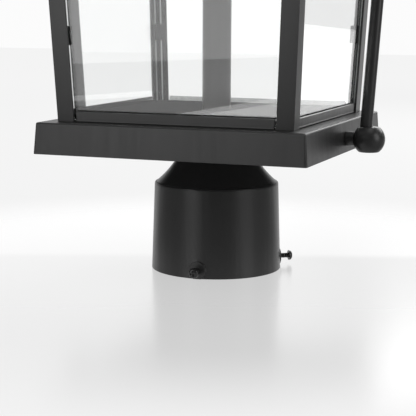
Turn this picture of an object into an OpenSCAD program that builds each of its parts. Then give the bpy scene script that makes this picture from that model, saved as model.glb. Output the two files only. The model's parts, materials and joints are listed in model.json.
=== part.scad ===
// Square post top lantern: round post fitter, drafted base tray, leaning glazed cage,
// side rods between flatted balls, and a pyramid roof that lifts off. Millimetres.
// The origin is the centre of the fitter's bottom rim, +Z is up and -Y is the front.

/* [Post fitter] */
// inside diameter of the collar, over the post
bore_d = 78.5; // [77:0.1:80]
// outside diameter of the collar at its bottom rim
collar_d = 87.3; // [86:0.1:92]
// outside diameter of the collar at its shoulder
shoulder_d = 83.3; // [82:0.1:86]
// height of the collar from the rim to the shoulder
collar_h = 58.8; // [50:0.1:80]
// how far below the shoulder the bore ends, at the stop that rests on the post
stop_drop = 4.8; // [3:0.1:12]
// chamfer at the mouth of the bore
bore_chamfer = 1; // [0.5:0.1:2]
// opening left inside the stop for the post
stop_d = 68; // [60:0.5:72]
// rounding of the shoulder's edge
shoulder_round = 1.2; // [0.6:0.1:2]
// width of the flat step above the shoulder
step_w = 1.3; // [0.8:0.1:3]
// outside diameter of the neck where it is narrowest
neck_d = 50; // [44:0.5:60]
// height of the sloping part of the neck
neck_slope_h = 18.5; // [12:0.5:22]
// wall of the neck
neck_wall = 4; // [3:0.1:5]
// height from the shoulder to the bottom edge of the tray
neck_rise = 23.5; // [20:0.1:40]
// height of the flare under the neck's flange
flare_h = 6; // [4:0.5:8]
// diameter of the flange on top of the neck
flange_d = 66; // [62:0.5:72]
// thickness of that flange
flange_t = 4.5; // [3:0.1:6]
// distance of the screws in the flange from its edge
flange_edge = 7; // [6:0.5:8]
// how far the neck's slope is drawn in at its middle
neck_cove = 1; // [0.5:0.1:2]

/* [Set screw pads] */
// diameter of the raised round pads
pad_d = 12; // [10:0.1:14]
// how far a pad's face stands out from the rim's outside
pad_proud = 1; // [0.5:0.1:2]
// height of the set screws above the rim
pad_z = 5.5; // [4.5:0.1:10]
// direction of the front set screw, seen from above
pad_turn = -85.5; // [-110:0.5:-70]

/* [Set screws] */
// thread diameter of a set screw
set_d = 3.5; // [3:0.1:5]
// length of a set screw under its head
set_len = 12; // [10:0.5:20]
// head diameter of a set screw
set_head_d = 6.8; // [6:0.1:9]
// head height of a set screw
set_head_h = 2.3; // [1.8:0.1:3.5]
// how far a set screw's tip stays back from the bore
set_back = 0.2; // [0.1:0.1:1]

/* [Base tray] */
// width of the tray across its bottom edge
tray_w = 180; // [170:0.5:200]
// how much narrower each side is at the plate
tray_draft = 1.35; // [0.8:0.05:3]
// height of the tray
tray_h = 20; // [18:0.1:30]
// wall of the tray
tray_wall = 2; // [1.5:0.1:3]
// thickness of the tray's plate
plate_t = 2.5; // [2:0.1:4]
// rounding where the sides meet the plate
edge_round = 1.5; // [0.8:0.1:3]
// rounding of the standing corners
corner_round = 1.6; // [1:0.1:5]
// height of the stiffening ribs under the plate
rib_h = 3.5; // [2:0.1:5]
// thickness of those ribs
rib_t = 2; // [1.5:0.1:3]
// thickness of the gasket between neck and tray
gasket_t = 1; // [0.5:0.1:2]

/* [Cage] */
// width of the tray's top left free outside the corner bars
cage_margin = 10.5; // [8:0.1:16]
// outward lean of the cage, per unit of height
lean = 0.0458; // [0.02:0.001:0.08]
// height of the cage
cage_h = 240; // [180:1:320]
// width of a corner bar's legs
bar_leg = 11.3; // [9:0.1:14]
// thickness of a corner bar
bar_t = 1.5; // [1.2:0.1:2.5]
// side of the tapped block inside each bar's ends
block_w = 5.6; // [5:0.1:6.5]
// height of that block
block_h = 10; // [8:0.5:14]
// height of the rails along the glass
rail_h = 6.8; // [5:0.1:10]
// thickness of the rails
rail_t = 1.2; // [1:0.1:2]
// how far a rail's face is set back from the bars' face
rail_set = 1; // [0.5:0.1:1.5]
// gap between a rail's end and the bar's leg
rail_end_gap = 1.2; // [0.5:0.1:2]
// width of the rail's foot under the glass
foot_w = 5.4; // [4.5:0.1:6]
// thickness of the glass
pane_t = 3; // [2:0.1:4]
// how far a pane reaches behind a bar's leg
pane_lap = 3.9; // [2:0.1:5]
// height of the keepers behind the glass
keeper_h = 12; // [8:0.5:20]
// thickness of a keeper's legs
keeper_t = 1; // [0.8:0.1:1.5]
// reach of a keeper's legs behind the glass
keeper_leg = 7; // [6:0.1:10]

/* [Floor plate] */
// height of the floor plate's top above the tray
floor_rise = 4.5; // [4:0.1:10]
// thickness of the floor plate
floor_t = 1.2; // [1:0.1:2]
// corner rounding of the floor plate
floor_round = 3; // [2:0.1:8]
// diameter of the drain holes in the floor plate
drain_d = 4; // [3:0.1:6]

/* [Side rods] */
// diameter of the balls
ball_d = 20.7; // [18:0.1:26]
// height of a ball between its two flats
ball_flats = 16.2; // [14:0.1:20]
// height of a ball's centre above the lower edge of tray or frame
ball_rise = 8.9; // [8:0.1:10]
// distance from the tray's side to a ball's centre
ball_out = 15; // [13:0.1:20]
// diameter of the rods
rod_d = 7.9; // [6:0.1:9]
// how far a rod stands inboard of the balls' centres
rod_inset = 2.6; // [0:0.1:3]
// outward lean of the rods, per unit of height
rod_lean = 0.0655; // [0.05:0.0005:0.08]
// depth of a rod's seat in a ball
rod_seat = 4.5; // [3:0.1:5]
// diameter of the collar between ball and tray
standoff_d = 9.35; // [8:0.05:11]
// thread diameter of the standoff's ends
standoff_thread_d = 5; // [4:0.1:5]
// depth of that thread in a ball
standoff_seat = 5; // [3:0.1:5]
// width across flats of the standoff's nut
standoff_nut_w = 8; // [7:0.1:9]
// height of the standoff's nut
standoff_nut_h = 2.7; // [2:0.1:4]
// how far the thread stands out of that nut
thread_out = 1.5; // [0.5:0.1:3]
// diameter of the boss the nut bears on
nut_boss_d = 11; // [10:0.1:12]
// how far that boss stands in from the wall
nut_boss_t = 1.4; // [1:0.1:2]

/* [Lampholder] */
// outside diameter of the candle sleeve
sleeve_d = 19.05; // [19:0.05:22.5]
// wall of the candle sleeve
sleeve_wall = 0.9; // [0.7:0.1:1]
// height of the candle sleeve
sleeve_h = 100; // [80:1:120]
// outside diameter of the threaded tube through floor and tray
nipple_d = 10; // [9.5:0.1:10]
// hole through that tube
nipple_bore_d = 7; // [5:0.1:8]
// length of the tube above the floor plate
nipple_up = 12; // [10:0.5:20]
// length of the tube below the neck's flange
nipple_down = 9; // [7:0.5:12]
// width across flats of the tube's nuts
nipple_nut_w = 13; // [12:0.1:13]
// height of the tube's nuts
nipple_nut_h = 4; // [3:0.1:6]
// diameter of the lampholder's body
socket_d = 16.4; // [15:0.1:16.6]
// height of the lampholder's body
socket_h = 34; // [28:0.5:40]
// how far the lampholder ends below the sleeve's mouth
socket_back = 2; // [1:0.5:6]
// inside diameter of the brass screw shell
shell_bore_d = 12.1; // [11.9:0.05:12.3]
// wall of the brass screw shell
shell_wall = 0.4; // [0.3:0.05:0.6]
// height of the brass screw shell
shell_h = 19; // [16:0.5:22]
// width of the bracket that carries the lampholder
bracket_w = 6; // [4:0.1:6]
// thickness of that bracket
bracket_t = 1; // [0.8:0.1:1.2]
// how far the screw shell's foot turns inward
shell_lip = 1.8; // [1:0.1:2.5]
// height of the chamber under the shell for the middle contact
contact_room = 4; // [3:0.1:6]
// width of the middle contact's leaf
leaf_w = 3.2; // [2.5:0.1:4]
// diameter of the two wire holes in the lampholder's foot
wire_hole_d = 2.6; // [2:0.1:3.5]

/* [Screws] */
// thread diameter of the small screws in the cage blocks
small_d = 3; // [2.5:0.1:3]
// length of those screws under the head
small_len = 9; // [8:0.5:10]
// head diameter of those screws
small_head_d = 5.6; // [5:0.1:6.5]
// head height of those screws
small_head_h = 1.9; // [1.5:0.1:2.5]
// thread diameter of the flange and crossbar screws
mid_d = 4; // [3.5:0.1:4]
// length of the flange screws under the head
mid_len = 7; // [6:0.5:8]
// head diameter of those screws
mid_head_d = 7.6; // [7:0.1:8.5]
// head height of those screws
mid_head_h = 2.4; // [2:0.1:2.8]
// length of the crossbar screws under the head
crossbar_screw_len = 6; // [5:0.5:8]

/* [Top frame] */
// width of the frame's plate from the cage's face to its opening
frame_ledge = 27; // [21:0.5:34]
// width of the crossbar in the opening
crossbar_w = 20; // [14:0.5:26]
// thickness of the crossbar
crossbar_t = 2.5; // [2:0.1:4]
// how far the crossbar lies on the frame at each end
crossbar_lap = 14; // [10:0.5:18]

/* [Roof] */
// sheet thickness of the roof
roof_t = 1.5; // [1:0.1:2]
// gap between the roof's skirt and the top frame
skirt_gap = 0.6; // [0.4:0.1:1.5]
// how far the skirt hangs down over the top frame
skirt_down = 5; // [3:0.1:5.5]
// width of the ledge the roof rests on
ledge_w = 8; // [5:0.5:12]
// rise of the four roof slopes
roof_rise = 68; // [50:1:90]
// half width of the flat top of the roof
crown_half = 26; // [25:0.5:32]
// diameter of the vent hole in that flat top
vent_hole_d = 38; // [30:0.5:42]
// outside diameter of the vent collar
vent_d = 46; // [44:0.5:48]
// height of the vent collar
vent_h = 16; // [12:0.5:20]
// wall of the vent collar
vent_wall = 1.5; // [1:0.1:2]
// number of slots in the vent collar
vent_slots = 10; // [8:1:12]
// width of a vent slot
slot_w = 6; // [4:0.5:7]
// height of a vent slot
slot_h = 9; // [6:0.5:10]
// diameter of the cap over the vent
cap_d = 66; // [60:0.5:76]
// height of the cap's dome
cap_rise = 13; // [10:0.5:18]
// height of the cap's turned down rim
cap_rim_h = 4; // [3:0.1:6]

/* [Finial] */
// diameter of the stud that holds the roof
stud_d = 6; // [5:0.1:6]
// width across flats of the stud's nuts
stud_nut_w = 10; // [9:0.1:11]
// height of the stud's nuts
stud_nut_h = 5; // [4:0.1:6]
// diameter of the finial's foot
finial_foot_d = 22; // [18:0.5:26]
// diameter of the finial's ball
finial_ball_d = 20; // [16:0.5:24]
// height of the finial
finial_h = 40; // [36:0.5:48]
// depth of the thread in the finial
finial_thread = 16; // [12:0.5:18]

/* [Fits] */
// gap between pieces that sit on each other
seat_gap = 0.1; // [0.05:0.01:0.2]
// clearance round a screw in a plain hole
hole_clear = 0.3; // [0.2:0.05:0.5]
// clearance round a thread in its tapped hole
thread_clear = 0.06; // [0.02:0.01:0.1]
// how far a cut runs past the face it opens
over = 1; // [0.5:0.1:2]

/* [Hidden] */
$fn = 96;

head_side_share = 0.5;
head_top_share = 0.62;
recess_long_share = 0.58;
recess_wide_share = 0.16;
recess_deep_share = 0.55;
tip_share = 0.15;
finial_foot_share = 0.08;
finial_waist_share = 0.24;
finial_waist_z_share = 0.2;
finial_ball_z_share = 0.52;
finial_tip_share = 0.17;

bore_r = bore_d / 2;
bore_depth = collar_h - stop_drop;
tray_z = collar_h + neck_rise;
tray_top = tray_z + tray_h;
flange_top = tray_top - plate_t - gasket_t;
cage_top = tray_top + cage_h;
frame_z = cage_top;
frame_top = frame_z + tray_h;
tray_half = tray_w / 2;
floor_top = tray_top + floor_rise;
flange_pcd = flange_d - 2 * flange_edge;

// sideways places measured inward from the cage's outer planes
pane_set = rail_set + rail_t + seat_gap;
pane_in = pane_set + pane_t;
pane_edge = bar_leg - pane_lap;
block_in = bar_t + block_w;

// half width of the tray's side at a height over its open edge
function side_half(half, up) = half - tray_draft * up / tray_h;
cage_half = side_half(tray_half, tray_h) - cage_margin;
// outer half width of the leaning cage at a height
function cage_at(z) = cage_half + lean * (z - tray_top);
opening_half = cage_at(cage_top) - frame_ledge;
floor_half = cage_half - rail_set - foot_w - seat_gap;
ball_x = side_half(tray_half, ball_rise) + ball_out;
ball_z = tray_z + ball_rise;
top_ball_z = frame_z + ball_rise;
rod_x = ball_x - rod_inset;
function rod_at(z) = rod_x + rod_lean * (z - ball_z);
top_ball_x = rod_at(top_ball_z) + rod_inset;
frame_half = top_ball_x - ball_out + tray_draft * (tray_h - ball_rise) / tray_h;
seat_face = sqrt(ball_d * ball_d / 4 - standoff_d * standoff_d / 4) - seat_gap;

roof_half = frame_half + skirt_gap + roof_t;
ledge_z = frame_top + seat_gap;
eave_z = ledge_z + roof_t;
crown_z = eave_z + roof_rise;
vent_z = crown_z + seat_gap;
vent_r = vent_d / 2;
dome_r = (cap_d * cap_d / 4 + cap_rise * cap_rise) / (2 * cap_rise);
dome_in = dome_r - roof_t;
dome_drop = dome_r - cap_rise;
cap_z = vent_z + vent_h + seat_gap + dome_drop - sqrt(dome_in * dome_in - vent_r * vent_r);
cap_top = cap_z + cap_rise;
finial_z = cap_top + seat_gap;
bar_z = frame_z + plate_t + seat_gap;
stud_low = bar_z - seat_gap - stud_nut_h - thread_out;
stud_high = finial_z + finial_thread - thread_out;

sleeve_top = floor_top + seat_gap + sleeve_h;
socket_top = sleeve_top - socket_back;
socket_z = socket_top - socket_h;
shell_r = shell_bore_d / 2 + shell_wall;
shell_top = socket_top;
shell_z = shell_top - shell_h;
bracket_z = floor_top + seat_gap;
bracket_top = socket_z - seat_gap;
sleeve_in = sleeve_d / 2 - sleeve_wall;

black = [0.13, 0.13, 0.13];
black_oxide = [0.09, 0.09, 0.09];
soft_black = [0.2, 0.2, 0.2];
clear_glass = [0.75, 0.88, 0.84, 0.28];
zinc = [0.66, 0.66, 0.64];
brass = [0.78, 0.62, 0.3];
bakelite = [0.08, 0.07, 0.07];
rubber = [0.06, 0.06, 0.06];
green = [0.15, 0.45, 0.2];

// a bound is [side, offset]: side times the cage's half width, plus the offset
function bound(b, z) = b[0] * cage_at(z) + b[1];

// a block between four leaning planes, from z0 up to z1
module lean_block(xa, xb, ya, yb, z0, z1) {
    intersection() {
        rotate([90, 0, 0])
            linear_extrude(height = 2 * tray_w, center = true)
                polygon([[bound(xa, z0), z0], [bound(xb, z0), z0],
                    [bound(xb, z1), z1], [bound(xa, z1), z1]]);
        rotate([90, 0, 90])
            linear_extrude(height = 2 * tray_w, center = true)
                polygon([[bound(ya, z0), z0], [bound(yb, z0), z0],
                    [bound(yb, z1), z1], [bound(ya, z1), z1]]);
    }
}

// the part that one outline, swept along X and along Y, has in common
module cross_block() {
    intersection() {
        rotate([90, 0, 0])
            linear_extrude(height = 2 * tray_w, center = true)
                children();
        rotate([90, 0, 90])
            linear_extrude(height = 2 * tray_w, center = true)
                children();
    }
}

// a square drafted block, open edge at zero height
module draft_block(half, up) {
    cross_block()
        polygon([[-half, 0], [half, 0], [side_half(half, up), up], [-side_half(half, up), up]]);
}

// the outline of a drafted side with rounded upper edges
module rounded_side(half) {
    run = sqrt(tray_h * tray_h + tray_draft * tray_draft);
    cx = side_half(half, tray_h - edge_round) - edge_round * run / tray_h;
    cz = tray_h - edge_round;
    tx = cx + edge_round * tray_h / run;
    tz = cz + edge_round * tray_draft / run;
    polygon([[-half, 0], [half, 0], [tx, tz], [cx, tray_h], [-cx, tray_h], [-tx, tz]]);
    for (s = [-1, 1])
        translate([s * cx, cz])
            circle(r = edge_round);
}

// what rounds off one standing corner of a drafted block
module corner_cutter(half) {
    slope = tray_draft / tray_h;
    run = sqrt(1 + slope * slope);
    tilt = atan(slope * sqrt(2));
    spread = acos(sqrt(1 - 1 / (2 * run * run)));
    place = half - corner_round * run;
    reach = 2 * corner_round;
    rotate([0, 0, 45])
        translate([place * sqrt(2), 0, 0])
            rotate([0, -tilt, 0])
                translate([0, 0, -over])
                    linear_extrude(height = tray_h + 2 * over)
                        difference() {
                            polygon([[0, 0], [reach * cos(spread), -reach * sin(spread)],
                                [reach + over, 0], [reach * cos(spread), reach * sin(spread)]]);
                            circle(r = corner_round);
                        }
}

// a drafted pan: open edge at zero height, plate at the other end, with a boss on
// each of the two side walls at the height of the ball's axis
module pan(half, up) {
    difference() {
        cross_block()
            rounded_side(half);
        for (i = [0:3])
            rotate([0, 0, 90 * i])
                corner_cutter(half);
        difference() {
            translate([0, 0, -over])
                draft_block(half - tray_wall + tray_draft * over / tray_h,
                    tray_h - plate_t + over);
            for (s = [0, 1])
                mirror([s, 0, 0])
                    translate([side_half(half, up) - tray_wall - nut_boss_t, 0, up])
                        rotate([0, 90, 0])
                            cylinder(d = nut_boss_d, h = 2 * tray_wall + nut_boss_t);
        }
    }
}

// a flat square with rounded corners
module rounded_square(half, round) {
    square(2 * [half, half - round], center = true);
    square(2 * [half - round, half], center = true);
    for (sx = [-1, 1], sy = [-1, 1])
        translate([sx * (half - round), sy * (half - round)])
            circle(r = round);
}

// a pan head screw with its head's underside at zero height, shank down
module pan_screw(d, len, head_d, head_h) {
    difference() {
        rotate_extrude()
            polygon([[0, -len], [d / 2 - tip_share * d, -len], [d / 2, tip_share * d - len],
                [d / 2, 0], [head_d / 2, 0], [head_d / 2, head_side_share * head_h],
                [head_top_share * head_d / 2, head_h], [0, head_h]]);
        for (a = [0, 90])
            rotate([0, 0, a])
                translate([-recess_long_share * head_d / 2, -recess_wide_share * head_d / 2,
                        head_h - recess_deep_share * head_h])
                    cube([recess_long_share * head_d, recess_wide_share * head_d,
                        head_h + over]);
    }
}

// a hexagon nut standing on zero height
module hex_nut(w, h, hole) {
    difference() {
        cylinder(d = w / cos(30), h = h, $fn = 6);
        translate([0, 0, -over])
            cylinder(d = hole + 2 * thread_clear, h = h + 2 * over);
    }
}

// post fitter: collar, shoulder, sloping neck and flange

module fitter_outline() {
    shoulder_r = shoulder_d / 2;
    neck_r = neck_d / 2;
    slope_r = shoulder_r - step_w;
    fall = (slope_r - neck_r) / neck_slope_h;
    wall_out = neck_wall * sqrt(1 + fall * fall);
    inner_r = neck_r - neck_wall;
    stop_z = collar_h + (slope_r - wall_out - stop_d / 2) / fall;
    slope_end = collar_h + (slope_r - wall_out - inner_r) / fall;
    flange_z = flange_top - flange_t;
    hole_r = nipple_d / 2 + thread_clear;
    chord = norm([slope_r - neck_r, neck_slope_h]);
    cove_r = (chord * chord / 4 + neck_cove * neck_cove) / (2 * neck_cove);
    cove_off = (cove_r - neck_cove) / chord;
    difference() {
        polygon([[bore_r + bore_chamfer, 0], [collar_d / 2, 0], [shoulder_r, collar_h],
            [shoulder_r, collar_h + neck_slope_h + over], [neck_r, collar_h + neck_slope_h + over],
            [neck_r, flange_z - flare_h], [flange_d / 2, flange_z], [flange_d / 2, flange_top],
            [hole_r, flange_top], [hole_r, flange_z], [inner_r, flange_z],
            [inner_r, slope_end], [stop_d / 2, stop_z], [stop_d / 2, bore_depth],
            [bore_r, bore_depth], [bore_r, bore_chamfer]]);
        translate([shoulder_r - shoulder_round, collar_h - shoulder_round])
            difference() {
                square(2 * shoulder_round);
                circle(r = shoulder_round);
            }
        intersection() {
            translate([(slope_r + neck_r) / 2 + cove_off * neck_slope_h,
                    collar_h + neck_slope_h / 2 + cove_off * (slope_r - neck_r)])
                circle(r = cove_r);
            translate([neck_r, collar_h])
                square([shoulder_r, neck_slope_h + 2 * over]);
        }
    }
}

// places a set screw's things: local +Z points outward along its axis
module at_screw(i) {
    rotate([0, 0, pad_turn + 120 * i])
        translate([0, 0, pad_z])
            rotate([0, 90, 0])
                children();
}

module post_fitter() {
    color(black)
        difference() {
            union() {
                rotate_extrude()
                    fitter_outline();
                intersection() {
                    for (i = [0:2])
                        at_screw(i)
                            translate([0, 0, (bore_r + collar_d / 2) / 2])
                                cylinder(d = pad_d,
                                    h = (collar_d / 2 - bore_r) / 2 + pad_proud);
                    cylinder(d = 2 * collar_d, h = collar_h);
                }
            }
            for (i = [0:2])
                at_screw(i)
                    cylinder(d = set_d + 2 * thread_clear, h = collar_d);
            for (i = [0:3])
                rotate([0, 0, 90 * i + 45])
                    translate([flange_pcd / 2, 0, flange_top - flange_t - over])
                        cylinder(d = mid_d + 2 * thread_clear, h = flange_t + 2 * over);
        }
}

module set_screw(i) {
    color(black_oxide)
        at_screw(i)
            translate([0, 0, bore_r + set_back + set_len])
                pan_screw(set_d, set_len, set_head_d, set_head_h);
}

module set_screw_front() { set_screw(0); }
module set_screw_right() { set_screw(1); }
module set_screw_left() { set_screw(2); }

module neck_gasket() {
    color(rubber)
        translate([0, 0, flange_top])
            difference() {
                cylinder(d = flange_d, h = gasket_t);
                translate([0, 0, -over])
                    cylinder(d = nipple_d + 2 * hole_clear, h = gasket_t + 2 * over);
                for (i = [0:3])
                    rotate([0, 0, 90 * i + 45])
                        translate([flange_pcd / 2, 0, -over])
                            cylinder(d = mid_d + 2 * hole_clear, h = gasket_t + 2 * over);
            }
}

// base tray: drafted pan, ribs and holes

module standoff_hole(x, z) {
    for (s = [-1, 1])
        translate([s * x, 0, z])
            rotate([0, 90, 0])
                cylinder(d = standoff_thread_d + 2 * hole_clear, h = 2 * ball_out,
                    center = true);
}

module base_tray() {
    screw_at = cage_half - bar_t - block_w / 2;
    color(black)
        difference() {
            union() {
                translate([0, 0, tray_z])
                    pan(tray_half, ball_rise);
                for (a = [45, 90, 135, 225, 270, 315])
                    rotate([0, 0, a])
                        translate([flange_d / 2 + rib_t, -rib_t / 2, tray_top - plate_t - rib_h])
                            cube([tray_half - tray_wall - flange_d / 2 - rib_t, rib_t,
                                rib_h + plate_t / 2]);
            }
            translate([0, 0, tray_top - plate_t - over])
                cylinder(d = nipple_d + 2 * hole_clear, h = plate_t + 2 * over);
            for (i = [0:3])
                rotate([0, 0, 90 * i + 45])
                    translate([flange_pcd / 2, 0, tray_top - plate_t - over])
                        cylinder(d = mid_d + 2 * hole_clear, h = plate_t + 2 * over);
            for (sx = [-1, 1], sy = [-1, 1])
                translate([sx * screw_at, sy * screw_at, tray_z]) {
                    cylinder(d = small_d + 2 * hole_clear, h = tray_h + over);
                    cylinder(d = small_head_d + 2 * rib_t, h = tray_h - plate_t);
                }
            standoff_hole(side_half(tray_half, ball_rise), ball_z);
            // tapped hole for the ground screw, clear of the neck
            translate([-flange_d / 2 - mid_head_d, 0, tray_z])
                cylinder(d = mid_d + 2 * thread_clear, h = tray_h + over);
        }
}

module neck_screws() {
    color(zinc)
        for (i = [0:3])
            rotate([0, 0, 90 * i + 45])
                translate([flange_pcd / 2, 0, tray_top])
                    pan_screw(mid_d, mid_len, mid_head_d, mid_head_h);
}

module cage_screws_lower() {
    screw_at = cage_half - bar_t - block_w / 2;
    color(zinc)
        for (sx = [-1, 1], sy = [-1, 1])
            translate([sx * screw_at, sy * screw_at, tray_top - plate_t])
                mirror([0, 0, 1])
                    pan_screw(small_d, small_len, small_head_d, small_head_h);
}

module ground_screw() {
    color(green)
        translate([-flange_d / 2 - mid_head_d, 0, tray_top - plate_t])
            mirror([0, 0, 1])
                pan_screw(mid_d, plate_t + floor_rise / 3, mid_head_d, mid_head_h);
}

// floor plate: shallow pressed cover over the tray

module floor_plate() {
    color(soft_black)
        difference() {
            translate([0, 0, tray_top])
                linear_extrude(height = floor_rise)
                    rounded_square(floor_half, floor_round);
            translate([0, 0, tray_top - over])
                linear_extrude(height = floor_rise - floor_t + over)
                    rounded_square(floor_half - floor_t, floor_round - floor_t);
            translate([0, 0, tray_top])
                cylinder(d = nipple_d + 2 * hole_clear, h = floor_rise + over);
            for (sx = [-1, 1], sy = [-1, 1])
                translate([sx * (floor_half - 3 * drain_d), sy * (floor_half - 3 * drain_d),
                        tray_top])
                    cylinder(d = drain_d, h = floor_rise + over);
        }
}

// cage: rails, corner bars, glass and keepers, each drawn at the front and turned

module rail(z_flat, z_end, z_foot) {
    lo = min(z_flat, z_end);
    hi = max(z_flat, z_end);
    wall_end = bar_leg + rail_end_gap;
    foot_end = block_in + seat_gap;
    color(black)
        union() {
            lean_block([-1, wall_end], [1, -wall_end], [-1, rail_set], [-1, rail_set + rail_t],
                lo, hi);
            lean_block([-1, foot_end], [1, -foot_end], [-1, rail_set + rail_t / 2],
                [-1, rail_set + foot_w], min(z_flat, z_foot), max(z_flat, z_foot));
        }
}

module lower_rail(turn) {
    rotate([0, 0, turn])
        rail(tray_top, tray_top + rail_h, tray_top + rail_t);
}

module upper_rail(turn) {
    rotate([0, 0, turn])
        rail(cage_top, cage_top - rail_h, cage_top - rail_t);
}

module lower_rail_front() { lower_rail(0); }
module lower_rail_right() { lower_rail(90); }
module lower_rail_back() { lower_rail(180); }
module lower_rail_left() { lower_rail(270); }
module upper_rail_front() { upper_rail(0); }
module upper_rail_right() { upper_rail(90); }
module upper_rail_back() { upper_rail(180); }
module upper_rail_left() { upper_rail(270); }

module corner_block(z0, z1) {
    lean_block([1, -block_in], [1, -bar_t / 2], [-1, bar_t / 2], [-1, block_in], z0, z1);
}

module corner_bar(turn) {
    low_at = cage_half - bar_t - block_w / 2;
    high_at = cage_at(cage_top) - bar_t - block_w / 2;
    color(black)
        rotate([0, 0, turn])
            difference() {
                union() {
                    difference() {
                        lean_block([1, -bar_leg], [1, 0], [-1, 0], [-1, bar_leg],
                            tray_top, cage_top);
                        lean_block([1, -bar_leg - over], [1, -bar_t], [-1, bar_t],
                            [-1, bar_leg + over], tray_top - over, cage_top + over);
                    }
                    corner_block(tray_top, tray_top + block_h);
                    corner_block(cage_top - block_h, cage_top);
                }
                translate([low_at, -low_at, tray_top - over])
                    cylinder(d = small_d + 2 * thread_clear, h = block_h);
                translate([high_at, -high_at, cage_top + over - block_h])
                    cylinder(d = small_d + 2 * thread_clear, h = block_h);
            }
}

module corner_bar_front_right() { corner_bar(0); }
module corner_bar_back_right() { corner_bar(90); }
module corner_bar_back_left() { corner_bar(180); }
module corner_bar_front_left() { corner_bar(270); }

module pane(turn) {
    color(clear_glass)
        rotate([0, 0, turn])
            lean_block([-1, pane_edge], [1, -pane_edge], [-1, pane_set], [-1, pane_in],
                tray_top + rail_t + seat_gap, cage_top - rail_t - seat_gap);
}

module pane_front() { pane(0); }
module pane_right() { pane(90); }
module pane_back() { pane(180); }
module pane_left() { pane(270); }

// a post in the bar's corner and two legs that bear on the glass
module keeper(z0) {
    leg_in = pane_in + seat_gap;
    leg_end = leg_in + keeper_leg;
    stem = bar_t + seat_gap;
    z1 = z0 + keeper_h;
    lean_block([1, -leg_in - keeper_t], [1, -stem], [-1, stem], [-1, leg_in + keeper_t],
        z0, z1);
    lean_block([1, -leg_end], [1, -leg_in], [-1, leg_in], [-1, leg_in + keeper_t], z0, z1);
    lean_block([1, -leg_in - keeper_t], [1, -leg_in], [-1, leg_in], [-1, leg_end], z0, z1);
}

module pane_keepers() {
    color(soft_black)
        for (i = [0:3], up = [tray_top + cage_h / 5, cage_top - cage_h / 5 - keeper_h])
            rotate([0, 0, 90 * i])
                keeper(up);
}

// top frame: the tray's shape the other way up, with an opening

module top_frame() {
    screw_at = cage_at(cage_top) - bar_t - block_w / 2;
    strap_at = opening_half + crossbar_lap / 2;
    color(black)
        difference() {
            translate([0, 0, frame_top])
                mirror([0, 0, 1])
                    pan(frame_half, tray_h - ball_rise);
            translate([0, 0, frame_z - over])
                linear_extrude(height = plate_t + 2 * over)
                    rounded_square(opening_half, floor_round);
            for (sx = [-1, 1], sy = [-1, 1])
                translate([sx * screw_at, sy * screw_at, frame_z - over])
                    cylinder(d = small_d + 2 * hole_clear, h = plate_t + 2 * over);
            for (s = [-1, 1])
                translate([0, s * strap_at, frame_z - over])
                    cylinder(d = mid_d + 2 * thread_clear, h = plate_t + 2 * over);
            standoff_hole(top_ball_x - ball_out, top_ball_z);
        }
}

module cage_screws_upper() {
    screw_at = cage_at(cage_top) - bar_t - block_w / 2;
    color(zinc)
        for (sx = [-1, 1], sy = [-1, 1])
            translate([sx * screw_at, sy * screw_at, frame_z + plate_t])
                pan_screw(small_d, small_len, small_head_d, small_head_h);
}

// side rods: standoff, ball, rod and nut, each drawn on the right side
// flip is 1 at the tray and -1 at the top frame, which is the tray turned over

// everything inboard of a drafted side, round the standoff's axis
module side_bed(half, up, flip) {
    reach = standoff_d;
    lo = side_half(half, up - flip * reach) + seat_gap;
    hi = side_half(half, up + flip * reach) + seat_gap;
    rotate([90, 0, 0])
        linear_extrude(height = 2 * reach, center = true)
            polygon([[0, -reach], [lo, -reach], [hi, reach], [0, reach]]);
}

module standoff(half, up, flip, z) {
    side_x = side_half(half, up);
    centre_x = side_x + ball_out;
    in_x = side_x - tray_wall - nut_boss_t - seat_gap - standoff_nut_h - thread_out;
    out_x = centre_x - seat_face - seat_gap;
    end_x = centre_x - seat_face + standoff_seat;
    color(black)
        translate([0, 0, z])
            union() {
                difference() {
                    translate([side_x - tray_wall, 0, 0])
                        rotate([0, 90, 0])
                            cylinder(d = standoff_d, h = out_x - side_x + tray_wall);
                    side_bed(half, up, flip);
                }
                translate([in_x, 0, 0])
                    rotate([0, 90, 0])
                        cylinder(d = standoff_thread_d, h = end_x - in_x);
            }
}

module standoff_lower_right() { standoff(tray_half, ball_rise, 1, ball_z); }
module standoff_upper_right() { standoff(frame_half, tray_h - ball_rise, -1, top_ball_z); }
module standoff_lower_left() { mirror([1, 0, 0]) standoff_lower_right(); }
module standoff_upper_left() { mirror([1, 0, 0]) standoff_upper_right(); }

module standoff_nut(half, up, z) {
    boss_x = side_half(half, up) - tray_wall - nut_boss_t;
    translate([boss_x - seat_gap - standoff_nut_h, 0, z])
        rotate([0, 90, 0])
            hex_nut(standoff_nut_w, standoff_nut_h, standoff_thread_d);
}

module standoff_nuts() {
    color(zinc)
        for (s = [0, 1])
            mirror([s, 0, 0]) {
                standoff_nut(tray_half, ball_rise, ball_z);
                standoff_nut(frame_half, tray_h - ball_rise, top_ball_z);
            }
}

// a flatted ball round its own centre, with a seat for the standoff and one for the rod
module ball(flip) {
    flat = ball_flats / 2;
    color(black)
        difference() {
            intersection() {
                sphere(d = ball_d);
                translate([-ball_d, -ball_d, -flat])
                    cube([2 * ball_d, 2 * ball_d, ball_flats]);
            }
            translate([-ball_d, 0, 0])
                rotate([0, 90, 0])
                    cylinder(d = standoff_d + 2 * seat_gap, h = ball_d - seat_face);
            translate([-ball_d, 0, 0])
                rotate([0, 90, 0])
                    cylinder(d = standoff_thread_d + 2 * thread_clear,
                        h = ball_d - seat_face + standoff_seat + seat_gap);
            translate([-rod_inset, 0, 0])
                rotate([0, atan(rod_lean), 0])
                    mirror([0, 0, flip < 0 ? 1 : 0])
                        translate([0, 0, flat - rod_seat])
                            cylinder(d = rod_d + 2 * seat_gap, h = ball_d);
        }
}

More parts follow.
